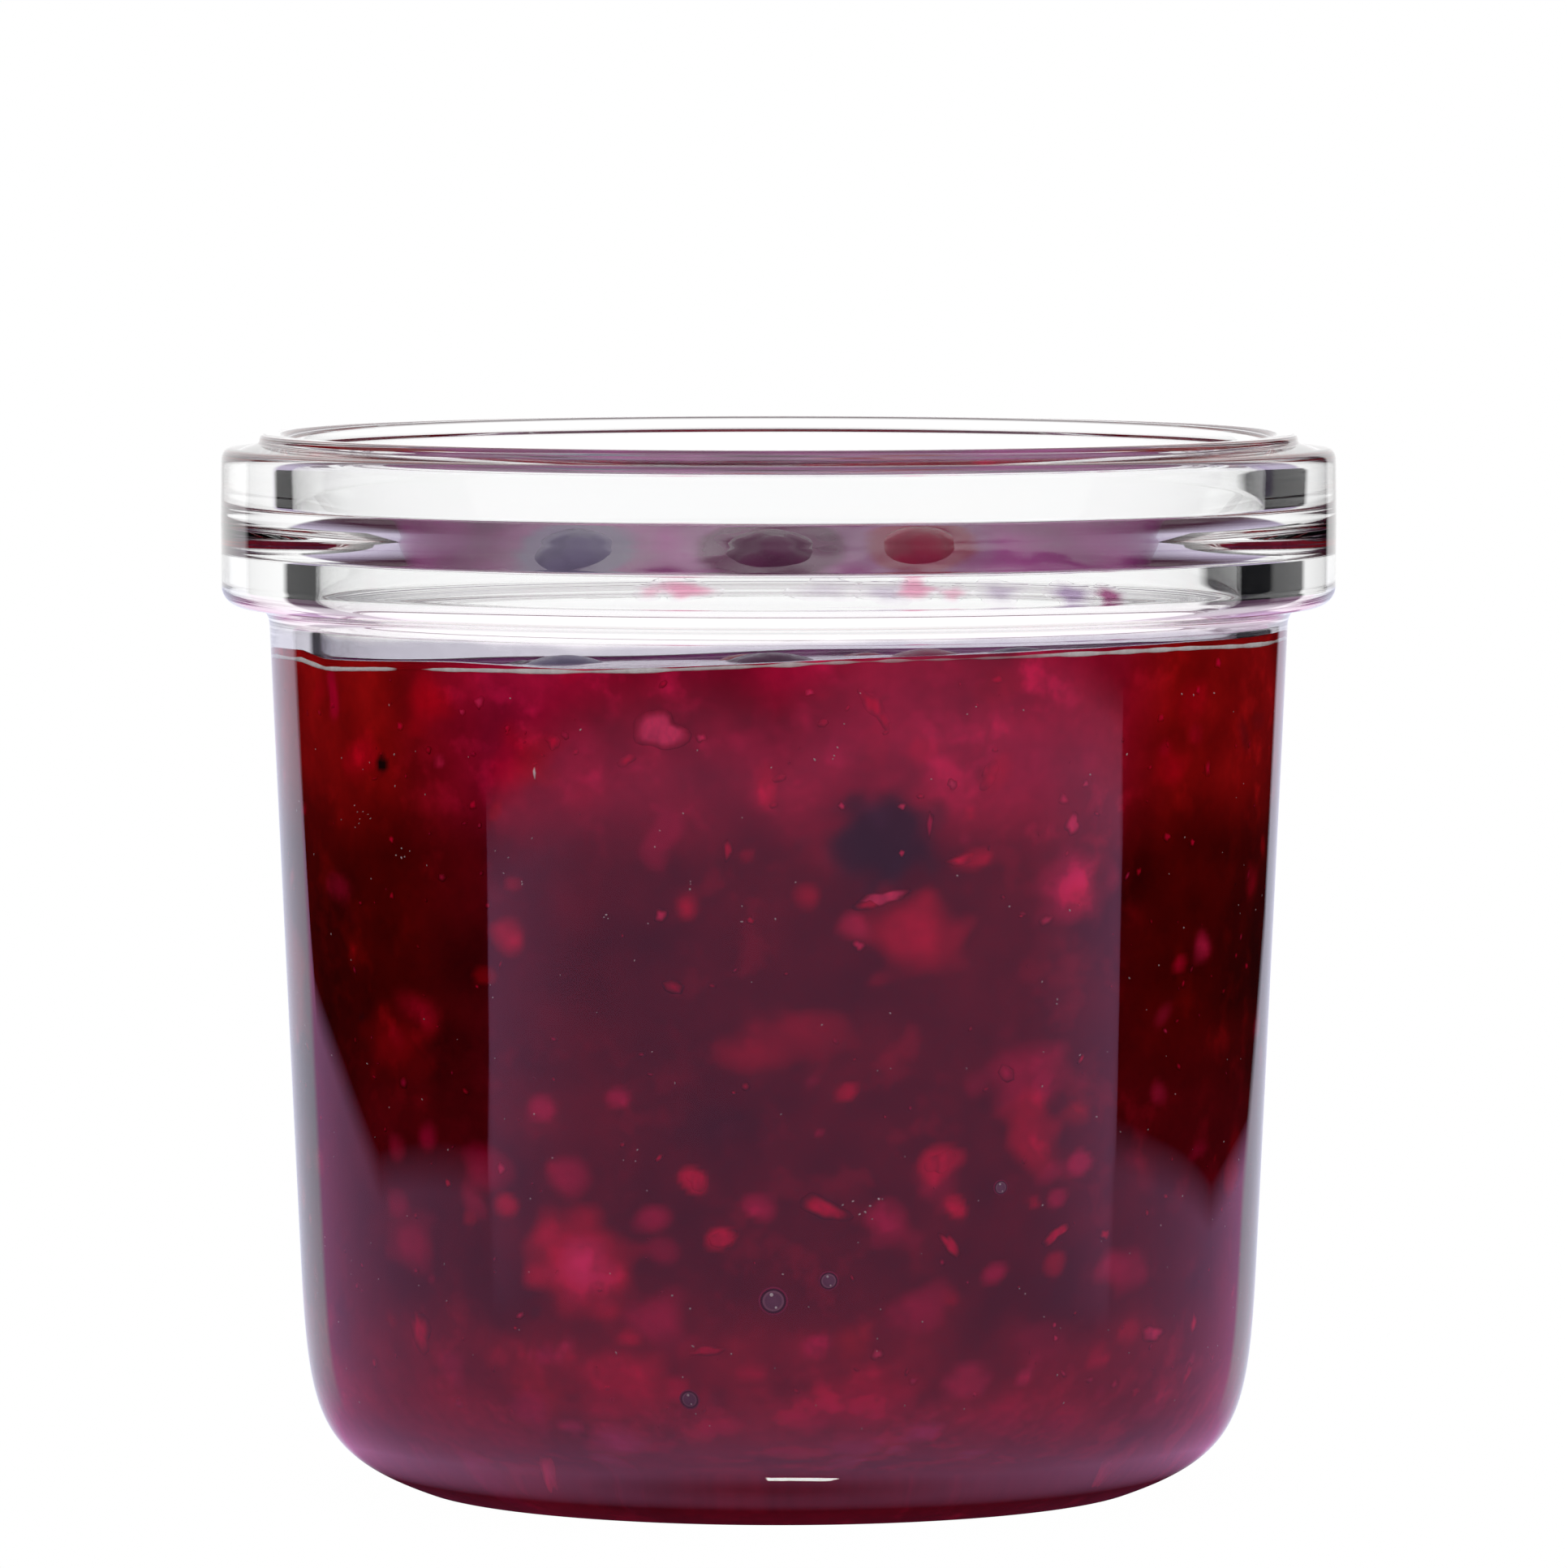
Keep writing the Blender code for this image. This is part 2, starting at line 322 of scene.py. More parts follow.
class Bench:
    """A node tree with short calls for the few nodes that the finishes use."""

    def __init__(self, tree: bpy.types.NodeTree) -> None:
        """Starts on a tree."""
        self.tree = tree

    def node(self, kind: str, **settings: object) -> bpy.types.Node:
        """A new node with some of its properties set."""
        made = self.tree.nodes.new(kind)
        for name, value in settings.items():
            setattr(made, name, value)
        return made

    def put(self, socket: bpy.types.NodeSocket, value: object) -> None:
        """Links another node's output to a socket, or sets a plain value on it."""
        if isinstance(value, bpy.types.NodeSocket):
            self.tree.links.new(value, socket)
        else:
            socket.default_value = value

    def maths(self, operation: str, *values: object) -> bpy.types.NodeSocket:
        """The result of a Math node."""
        made = self.node("ShaderNodeMath", operation=operation)
        for socket, value in zip(made.inputs, values):
            self.put(socket, value)
        return made.outputs[0]

    def mixed(
        self, share: object, first: object, second: object, blend: str = "MIX"
    ) -> bpy.types.NodeSocket:
        """Two colours mixed by a share."""
        made = self.node("ShaderNodeMix", data_type="RGBA", blend_type=blend)
        self.put(made.inputs["Factor"], share)
        self.put(made.inputs["A"], first)
        self.put(made.inputs["B"], second)
        return made.outputs["Result"]

    def ramp(self, value: object, stops: list[tuple[float, Colour]]) -> bpy.types.NodeSocket:
        """A colour that runs through stops, each a position from 0 to 1 and a colour."""
        made = self.node("ShaderNodeValToRGB")
        elements = made.color_ramp.elements
        elements.remove(elements[-1])
        for index, (place, colour) in enumerate(stops):
            element = elements[0] if index == 0 else elements.new(place)
            element.position = place
            element.color = (*colour, 1.0)
        self.put(made.inputs[0], value)
        return made.outputs[0]

    def between(self, value: object, low: object, high: object) -> bpy.types.NodeSocket:
        """How far a value lies from low to high, from 0 to 1."""
        made = self.node("ShaderNodeMapRange")
        for name, given in {"Value": value, "From Min": low, "From Max": high}.items():
            self.put(made.inputs[name], given)
        return made.outputs[0]

    def noise(
        self, scale: float, detail: float = 2.0, stretch: Colour | None = None
    ) -> bpy.types.NodeSocket:
        """Noise on the object's own coordinates, scale in waves to a metre."""
        place = self.node("ShaderNodeTexCoord").outputs["Object"]
        if stretch:
            mapping = self.node("ShaderNodeMapping")
            self.put(mapping.inputs["Vector"], place)
            self.put(mapping.inputs["Scale"], stretch)
            place = mapping.outputs[0]
        made = self.node("ShaderNodeTexNoise")
        self.put(made.inputs["Vector"], place)
        self.put(made.inputs["Scale"], scale)
        self.put(made.inputs["Detail"], detail)
        return made.outputs["Fac"]

    def bump(self, height: object, strength: float, depth: float) -> bpy.types.NodeSocket:
        """A normal bent by a height, depth in millimetres."""
        made = self.node("ShaderNodeBump")
        self.put(made.inputs["Height"], height)
        self.put(made.inputs["Strength"], strength)
        self.put(made.inputs["Distance"], depth * MM)
        return made.outputs[0]


def principled(name: str, **sockets: object) -> tuple[bpy.types.Material, Bench, bpy.types.Node]:
    """A new material with one Principled shader.

    Args:
        name: The material's name.
        sockets: Plain values for the shader's sockets, their spaces written as underscores.

    Returns:
        The material, a bench on its nodes and the shader node.
    """
    material = bpy.data.materials.new(name)
    material.use_nodes = True
    shader = material.node_tree.nodes["Principled BSDF"]
    for socket, value in sockets.items():
        shader.inputs[socket.replace("_", " ")].default_value = value
    return material, Bench(material.node_tree), shader


@dataclass(frozen=True)
class PressedGlass:
    """Clear glass with the faint unevenness that a pressing mould leaves."""

    tint: Colour = (0.985, 0.993, 0.99)
    waves_per_metre: float = 55.0
    unevenness: float = 0.012

    def material(self) -> bpy.types.Material:
        """The glass material."""
        made, bench, shader = principled(
            "pressed_glass", IOR=GLASS_INDEX, Roughness=0.0, Transmission_Weight=1.0
        )
        cloud = bench.noise(self.waves_per_metre, 1.0)
        clear = (1.0, 1.0, 1.0, 1.0)
        bench.put(shader.inputs["Base Color"], bench.mixed(cloud, clear, (*self.tint, 1.0)))
        bench.put(shader.inputs["Normal"], bench.bump(cloud, 1.0, self.unevenness))
        return made


@dataclass(frozen=True)
class JamAgainstGlass:
    """Jam pressed against the wall: painted tone, broken up by pulp and fibres. It has no gloss there."""

    cloud_per_metre: float = 210.0
    pulp_per_metre: float = 340.0
    cluster_per_metre: float = 95.0
    grain_per_metre: float = 1300.0
    cloud: tuple[float, float] = (0.84, 1.2)
    pulp: Colour = (0.8, 0.9, 1.2)
    grain: tuple[float, float] = (0.93, 1.07)

    def material(self) -> bpy.types.Material:
        """The material of the jam's side and bottom."""
        made, bench, shader = principled(
            "jam_against_glass", Roughness=0.6, Specular_IOR_Level=0.0
        )
        tone = bench.node("ShaderNodeAttribute", attribute_name=TONE).outputs["Color"]
        broad = bench.noise(self.cloud_per_metre, 2.0)
        broad = bench.ramp(broad, [(0.32, (self.cloud[0],) * 3), (0.68, (self.cloud[1],) * 3)])
        patches = bench.noise(self.pulp_per_metre, 4.0)
        patches = bench.ramp(patches, [(0.52, (0.0,) * 3), (0.68, self.pulp)])
        clusters = bench.noise(self.cluster_per_metre, 1.0)
        clusters = bench.ramp(clusters, [(0.40, (0.1,) * 3), (0.62, (1.0,) * 3)])
        patches = bench.mixed(1.0, patches, clusters, "MULTIPLY")
        lighter = bench.mixed(1.0, (1.0, 1.0, 1.0, 1.0), patches, "ADD")
        fine = bench.noise(self.grain_per_metre, 3.0)
        fine = bench.ramp(fine, [(0.3, (self.grain[0],) * 3), (0.7, (self.grain[1],) * 3)])
        colour = bench.mixed(1.0, tone, broad, "MULTIPLY")
        colour = bench.mixed(1.0, colour, lighter, "MULTIPLY")
        bench.put(shader.inputs["Base Color"], bench.mixed(1.0, colour, fine, "MULTIPLY"))
        return made


@dataclass(frozen=True)
class JamSurface:
    """The jam's open surface: dark, wet and almost smooth."""

    lumps_per_metre: float = 160.0
    lump_depth: float = 0.12
    roughness: float = 0.07

    def material(self) -> bpy.types.Material:
        """The material of the jam's top."""
        made, bench, shader = principled(
            "jam_surface", Roughness=self.roughness, IOR=1.3
        )
        tone = bench.node("ShaderNodeAttribute", attribute_name=TONE).outputs["Color"]
        lumps = bench.noise(self.lumps_per_metre, 1.0)
        shade = bench.ramp(lumps, [(0.3, (0.85,) * 3), (0.75, (1.2,) * 3)])
        bench.put(shader.inputs["Base Color"], bench.mixed(1.0, tone, shade, "MULTIPLY"))
        bench.put(shader.inputs["Normal"], bench.bump(lumps, 1.0, self.lump_depth))
        return made


@dataclass(frozen=True)
class FruitPulp:
    """Bits of fruit pressed against the wall: their own painted tone with fine fibres."""

    name: str = "fruit_pulp"
    fibres_per_metre: float = 1500.0
    contrast: float = 0.22

    def material(self) -> bpy.types.Material:
        """The material of the bits of fruit."""
        made, bench, shader = principled(self.name, Roughness=0.6, Specular_IOR_Level=0.0)
        tone = bench.node("ShaderNodeAttribute", attribute_name=TONE).outputs["Color"]
        fibres = bench.noise(self.fibres_per_metre, 3.0, (1.0, 1.0, 0.45))
        low, high = 1 - self.contrast, 1 + self.contrast
        shade = bench.ramp(fibres, [(0.3, (low,) * 3), (0.7, (high,) * 3)])
        bench.put(shader.inputs["Base Color"], bench.mixed(1.0, tone, shade, "MULTIPLY"))
        return made


@dataclass(frozen=True)
class BerrySkin:
    """A berry's wet skin: its painted tone, a bloom that thins in patches, and fine dimples."""

    name: str
    bloom: Colour
    bloom_share: float = 0.35
    dimples_per_metre: float = 1400.0

    def material(self) -> bpy.types.Material:
        """The skin material."""
        made, bench, shader = principled(self.name, Roughness=0.22, IOR=1.16)
        tone = bench.node("ShaderNodeAttribute", attribute_name=TONE).outputs["Color"]
        patches = bench.noise(420.0, 2.0)
        share = bench.ramp(patches, [(0.42, (0.0,) * 3), (0.7, (self.bloom_share,) * 3)])
        bench.put(shader.inputs["Base Color"], bench.mixed(share, tone, (*self.bloom, 1.0)))
        dimples = bench.noise(self.dimples_per_metre, 1.0)
        bench.put(shader.inputs["Normal"], bench.bump(dimples, 1.0, 0.01))
        return made


# --------------------------------------------------------------------------- the glass jar


@dataclass
class GlassJar:
    """The turned glass: foot ring, rounded heel, tapered wall, heavy rim, lip and stepped mouth."""

    foot_radius: float = 28.3
    foot_ring_width: float = 2.9
    push_up: float = 1.7
    heel_height: float = 20.0
    heel_foot_slope: float = math.radians(20.0)
    heel_foot_reach: float = 8.7
    heel_wall_reach: float = 14.0
    neck_radius: float = 39.5
    neck_height: float = 67.1
    wall_taper: float = 0.0469
    rim_radius: float = 43.2
    rim_crown: float = 0.05
    rim_bottom: float = 68.4
    rim_bottom_round: float = 1.6
    shoulder_radius: float = 42.3
    shoulder_height: float = 80.65
    shoulder_round: float = 1.1
    lip_radius: float = 40.25
    lip_foot_height: float = 80.95
    lip_outer_round: float = 0.5
    floor_height: float = 6.5
    floor_round: float = 8.0
    throat_radius: float = 35.9
    throat_bottom: float = 64.0
    step_bottom: float = 72.4
    step_top: float = 76.2
    step_depth: float = 1.9
    step_round: float = 0.25
    lip_inner_round: float = 1.2
    lip_inner_set: float = 0.1
    columns: int = 256
    longest_step: float = 0.7
    step_density: float = 3.6
    shortest_radius: float = 0.4

    @property
    def height(self) -> float:
        """Height of the lip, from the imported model."""
        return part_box("jar")[1].z / MM

    def outer_wall(self, height: Points | float) -> Points | float:
        """Radius of the tapered outside between heel and neck."""
        return self.neck_radius - self.wall_taper * (self.neck_height - height)

    def inner_wall(self, height: Points | float) -> Points | float:
        """Radius of the inside between the floor's round and the mouth's step."""
        return self.throat_radius - self.wall_taper * np.maximum(0.0, self.throat_bottom - height)

    def inside(self, proud: float = 0.0) -> Points:
        """The floor and throat, bottom to top, moved out into the glass.

        Args:
            proud: How far into the glass the profile is moved.

        Returns:
            Rows of (radius, height) from the axis to the throat's bottom.
        """
        top = self.floor_height + self.floor_round
        centre = (self.inner_wall(top) - self.floor_round, top)
        bend = arc(centre, self.floor_round + proud, -90, -math.degrees(self.wall_taper), 30)
        throat = [[self.throat_radius + proud, self.throat_bottom]]
        return np.concatenate([[[0.0, self.floor_height - proud]], bend, throat])

    def mouth(self) -> Points:
        """The step that a lid drops on to and the inside of the lip, bottom to top."""
        opening = self.throat_radius + self.step_depth
        below = np.array([self.throat_radius, self.throat_bottom])
        foot = np.array([self.throat_radius, self.step_bottom])
        head = np.array([opening, self.step_top])
        lip = np.array([opening + self.lip_inner_set, self.height - self.lip_inner_round])
        centre = (lip[0] + self.lip_inner_round, lip[1])
        return np.concatenate(
            [
                rounded_step(below, foot, head, self.step_round, 7),
                rounded_step(foot, head, lip, self.step_round, 7),
                arc(centre, self.lip_inner_round, 180, 90, 16),
            ]
        )

    def rim(self) -> Points:
        """The lip's outside, the shoulder, the heavy rim and its underside, top to bottom."""
        lip = (self.lip_radius - self.lip_outer_round, self.height - self.lip_outer_round)
        side_top = (self.rim_radius, self.shoulder_height - self.shoulder_round)
        run = self.shoulder_radius - self.lip_radius
        slope = (self.shoulder_height - self.lip_foot_height) / run
        handle = 0.6 * self.shoulder_round
        low = (self.rim_radius - self.rim_bottom_round, self.rim_bottom + self.rim_bottom_round)
        shoulder = [
            (self.shoulder_radius, self.shoulder_height),
            (self.shoulder_radius + handle, self.shoulder_height + handle * slope),
            (side_top[0], side_top[1] + handle),
            side_top,
        ]
        under = [
            (low[0] - 0.2, self.rim_bottom),
            (self.neck_radius + 0.7, self.rim_bottom - 0.25),
            (self.neck_radius + 0.1, self.rim_bottom - 0.3),
            (self.neck_radius, self.neck_height),
        ]
        crown = [[self.rim_radius + self.rim_crown, (side_top[1] + low[1]) / 2]]
        return np.concatenate(
            [
                arc(lip, self.lip_outer_round, 90, 0, 9),
                [[self.lip_radius + 0.1, self.lip_foot_height]],
                bezier(shoulder, 14),
                crown,
                arc(low, self.rim_bottom_round, 0, -75, 16),
                bezier(under, 14),
            ]
        )

    def heel(self) -> Points:
        """The rounded heel from the wall to the foot ring, then the pushed-up underside."""
        wall_end = self.heel_height - self.heel_wall_reach
        rise = self.heel_foot_reach * math.sin(self.heel_foot_slope)
        run = self.heel_foot_reach * math.cos(self.heel_foot_slope)
        ring = self.foot_radius - self.foot_ring_width
        outside = [
            (self.outer_wall(self.heel_height), self.heel_height),
            (self.outer_wall(wall_end), wall_end),
            (self.foot_radius + run, rise),
            (self.foot_radius, 0.0),
        ]
        below = [(ring, 0.0), (ring - 1.5, 0.0), (ring - 3.0, 0.8 * self.push_up)]
        return np.concatenate([bezier(outside, 56), bezier([*below, (0.0, self.push_up)], 20)])

    def section(self) -> Points:
        """The whole section: up the inside, over the lip, down the outside, back to the axis."""
        runs = [self.inside(), self.mouth(), self.rim(), self.heel()]
        return graded(without_repeats(np.concatenate(runs)), self.longest_step, self.step_density)

    def build(self) -> bpy.types.Object:
        """Turns the section round the axis, each point carried round a circle.

        Returns:
            The glass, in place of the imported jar.
        """
        section = self.section()[::-1]
        ringed = section[section[:, 0] > self.shortest_radius]
        angle = np.linspace(0, 2 * np.pi, self.columns, endpoint=False)
        radius = np.repeat(ringed[:, :1], self.columns, 1)
        height = np.repeat(ringed[:, 1:], self.columns, 1)
        grid = around(radius, height, angle[None])
        surface = Surface()
        surface.add_turned(grid, np.array([0, 0, self.push_up]), np.array([0, 0, self.floor_height]))
        glass = surface.build("glass_jar")
        glass.data.materials.append(PressedGlass().material())
        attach(glass, BODY)
        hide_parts("jar")
        return glass


# --------------------------------------------------------------------------- the jam


def shown_at(across: float, outer: float, inner: float) -> float:
    """Azimuth on the jam of what shows at a distance across the jar, seen from the front.

    The ray meets the glass at asin(across / outer), bends to asin(across / (n outer)) from the normal,
    and reaches the inner wall at asin(across / (n inner)) from its own normal.

    Args:
        across: Distance from the jar's axis, positive to the right.
        outer: Radius of the glass there.
        inner: Radius of the jam there.

    Returns:
        The azimuth in radians.
    """
    bent = math.asin(across / (GLASS_INDEX * outer))
    return math.asin(across / outer) - bent + math.asin(across / (GLASS_INDEX * inner))


def scattered_under_glass(shown: Points) -> Points:
    """The share of light that jam must scatter for a brightness to come back out of the glass.

    Of what leaves the jam a share t = TURNED_BACK is turned back on to it and the rest gets out, so
    brightness is (1 - t) s / (1 - t s).

    Args:
        shown: Brightness as a share of the light's.

    Returns:
        The scattered share s.
    """
    return shown / (1 - TURNED_BACK + TURNED_BACK * shown)


class Shade(Enum):
    """Colours that the fruit in the jam shows through the glass, linear."""

    # GLOW stands both for bright fruit and for painted light, the red glow where light gets into the jam.
    GLOW = (0.500, 0.0008, 0.0060)
    RED = (0.700, 0.0010, 0.0220)
    PINK = (0.850, 0.0130, 0.0650)
    PALE = (0.930, 0.0220, 0.0800)
    ROSE = (0.440, 0.0030, 0.0320)
    DARK = (0.006, 0.0035, 0.0070)
    BLACK = (0.006, 0.0010, 0.0010)
    # WHITE is the tone of specks and seeds, and also of painted glints.
    WHITE = (0.800, 0.5500, 0.6000)
    BLUSH = (0.940, 0.4600, 0.6200)
    MAUVE = (0.480, 0.3400, 0.5600)
    WINE = (0.420, 0.1000, 0.2600)


@dataclass(frozen=True)
class Lump:
    """A bit of fruit in the jam, placed as it shows from the front.

    Across and height are in millimetres from the axis and the foot, wide and tall are its full size,
    tilt is anticlockwise in degrees, soft is the share of its size over which it fades out.
    """

    across: float
    height: float
    wide: float
    tall: float
    shade: Shade
    strength: float = 0.8
    soft: float = 0.6
    tilt: float = 0.0


SOFT_LUMPS = (
    Lump(-33.9, 62.4, 1.5, 3.4, Shade.RED, 0.9, 0.5, 10),
    Lump(-26.4, 62.4, 4.6, 3.4, Shade.GLOW, 0.8, 0.9),
    Lump(-31.7, 57.9, 4.2, 3.4, Shade.GLOW, 0.9, 0.8),
    Lump(-30.0, 57.4, 1.3, 1.3, Shade.BLACK, 1.0, 0.5),
    Lump(-20.4, 57.3, 3.2, 3.4, Shade.RED, 0.8, 0.9),
    Lump(-18.6, 58.6, 4.0, 5.0, Shade.GLOW, 0.6, 0.9),
    Lump(-0.9, 56.5, 1.6, 3.4, Shade.RED, 0.5, 0.6, 5),
    Lump(-20.2, 44.7, 2.6, 2.4, Shade.RED, 0.6, 0.8),
    Lump(10.4, 59.4, 2.4, 1.8, Shade.RED, 0.4, 0.8),
    Lump(16.6, 57.5, 2.0, 2.8, Shade.RED, 0.6, 0.7, -20),
    Lump(8.1, 53.0, 8.6, 7.4, Shade.DARK, 0.95, 0.6, 20),
    Lump(6.0, 51.5, 5.0, 4.4, Shade.DARK, 0.7, 0.9),
    Lump(14.4, 50.9, 3.4, 1.3, Shade.RED, 0.5, 0.6, 12),
    Lump(10.2, 45.5, 7.0, 5.4, Shade.RED, 0.65, 0.8, -10),
    Lump(22.2, 48.6, 5.6, 5.2, Shade.ROSE, 0.8, 0.8),
    Lump(22.4, 48.0, 2.6, 2.6, Shade.RED, 0.5, 0.9),
    Lump(29.8, 57.1, 3.0, 3.4, Shade.GLOW, 0.9, 0.9),
    Lump(31.4, 62.0, 4.4, 3.0, Shade.GLOW, 0.6, 1.0),
    Lump(-15.1, 20.5, 7.6, 7.0, Shade.RED, 0.95, 0.75, -25),
    Lump(-14.6, 20.0, 4.4, 4.6, Shade.PINK, 0.65, 0.75, -35),
    Lump(-6.3, 26.8, 1.8, 1.8, Shade.RED, 0.9, 0.5),
    Lump(-4.2, 22.5, 2.3, 1.6, Shade.RED, 1.0, 0.5, 10),
    Lump(-7.6, 11.1, 2.3, 2.4, Shade.RED, 0.9, 0.5, -40),
    Lump(-11.8, 11.4, 7.0, 5.0, Shade.RED, 0.75, 0.65),
    Lump(-12.3, 7.2, 5.2, 3.8, Shade.PINK, 0.9, 0.65),
    Lump(-23.7, 6.5, 2.6, 2.0, Shade.ROSE, 1.0, 0.55),
    Lump(12.0, 28.0, 3.0, 2.6, Shade.RED, 0.8, 0.55, 20),
    Lump(22.7, 27.4, 2.2, 2.0, Shade.ROSE, 1.0, 0.5),
    Lump(6.3, 10.0, 8.6, 5.2, Shade.RED, 0.8, 0.65, 8),
    Lump(14.2, 11.6, 3.6, 3.2, Shade.PINK, 0.45, 0.5),
    Lump(16.8, 8.4, 4.6, 3.6, Shade.RED, 0.75, 0.65),
    Lump(5.9, 7.0, 4.2, 2.8, Shade.PINK, 0.75, 0.65),
    Lump(-27.8, 21.0, 5.0, 4.0, Shade.ROSE, 0.55, 0.85),
    Lump(-22.0, 27.0, 4.0, 4.0, Shade.ROSE, 0.6, 0.75),
    Lump(-15.8, 27.0, 3.4, 3.0, Shade.ROSE, 0.6, 0.75),
    Lump(-29.0, 36.0, 6.0, 5.0, Shade.GLOW, 0.35, 1.0),
    Lump(18.5, 34.5, 7.0, 5.0, Shade.ROSE, 0.5, 0.9),
    Lump(2.0, 38.0, 7.0, 4.0, Shade.RED, 0.35, 0.9),
    Lump(-2.0, 36.5, 5.0, 3.0, Shade.RED, 0.35, 0.9),
    Lump(-5.0, 31.0, 6.0, 4.0, Shade.DARK, 0.4, 1.0),
    Lump(22.0, 16.0, 8.0, 6.0, Shade.DARK, 0.4, 1.0),
    Lump(-21.0, 17.0, 6.0, 5.0, Shade.DARK, 0.3, 1.0),
    Lump(-20.5, 24.5, 2.4, 2.0, Shade.RED, 0.7, 0.65),
    Lump(-9.5, 24.0, 2.8, 1.8, Shade.ROSE, 0.7, 0.65, 15),
    Lump(-1.5, 24.8, 3.0, 1.8, Shade.ROSE, 0.7, 0.65, -20),
    Lump(8.5, 23.5, 2.6, 3.4, Shade.ROSE, 0.65, 0.65, 30),
    Lump(19.0, 30.0, 4.0, 6.0, Shade.RED, 0.65, 0.75, 10),
    Lump(26.0, 19.0, 4.4, 3.2, Shade.ROSE, 0.7, 0.75),
    Lump(10.5, 17.0, 5.0, 3.0, Shade.ROSE, 0.6, 0.75, 20),
    Lump(-9.0, 16.0, 4.4, 3.6, Shade.ROSE, 0.65, 0.75, -20),
    Lump(-24.8, 12.0, 3.0, 2.2, Shade.ROSE, 0.7, 0.65),
    Lump(-4.6, 8.4, 3.4, 2.4, Shade.RED, 0.8, 0.65, 30),
    Lump(1.8, 9.0, 4.0, 2.6, Shade.RED, 0.8, 0.65, -12),
    Lump(10.6, 7.8, 3.4, 2.4, Shade.PINK, 0.8, 0.55, 24),
    Lump(21.6, 8.0, 3.6, 2.4, Shade.RED, 0.8, 0.65, -20),
    Lump(-19.0, 9.2, 4.2, 2.8, Shade.ROSE, 0.8, 0.65),
    Lump(-13.2, 6.2, 2.2, 1.8, Shade.PALE, 0.8, 0.5, 30),
    Lump(5.2, 6.2, 2.4, 1.8, Shade.PALE, 0.7, 0.5, -20),
    Lump(14.6, 6.6, 2.6, 1.6, Shade.PINK, 0.8, 0.55),
    Lump(13.5, 24.5, 2.0, 1.5, Shade.RED, 0.7, 0.6, -35),
    Lump(16.2, 19.6, 2.2, 1.4, Shade.ROSE, 0.8, 0.6, 20),
    Lump(-12.0, 33.0, 1.8, 1.4, Shade.ROSE, 0.7, 0.6),
    Lump(5.2, 33.6, 1.6, 1.4, Shade.RED, 0.6, 0.6, 25),
    Lump(-17.8, 31.8, 2.2, 1.6, Shade.ROSE, 0.7, 0.7, -30),
    Lump(24.0, 12.6, 2.4, 1.8, Shade.RED, 0.7, 0.6, 15),
    Lump(-17.6, 13.4, 2.0, 1.6, Shade.ROSE, 0.8, 0.6, 30),
    Lump(-2.0, 12.2, 2.6, 1.4, Shade.RED, 0.6, 0.6, -10),
    Lump(0.6, 6.9, 2.6, 1.2, Shade.RED, 0.7, 0.6, 10),
    Lump(9.0, 6.8, 2.0, 1.0, Shade.PALE, 0.7, 0.6, -15),
    Lump(-8.8, 7.0, 2.2, 1.4, Shade.RED, 0.8, 0.6, 35),
    Lump(-15.6, 8.0, 1.8, 1.4, Shade.PINK, 0.7, 0.6),
    Lump(18.6, 11.6, 1.8, 1.2, Shade.PINK, 0.6, 0.6, 40),
    Lump(3.0, 14.6, 2.2, 1.6, Shade.ROSE, 0.6, 0.7),
    Lump(-11.4, 14.8, 1.6, 1.2, Shade.RED, 0.6, 0.6),
    Lump(-26.6, 29.0, 2.4, 1.8, Shade.ROSE, 0.5, 0.7),
    Lump(21.0, 25.0, 1.8, 1.4, Shade.ROSE, 0.7, 0.6),
)

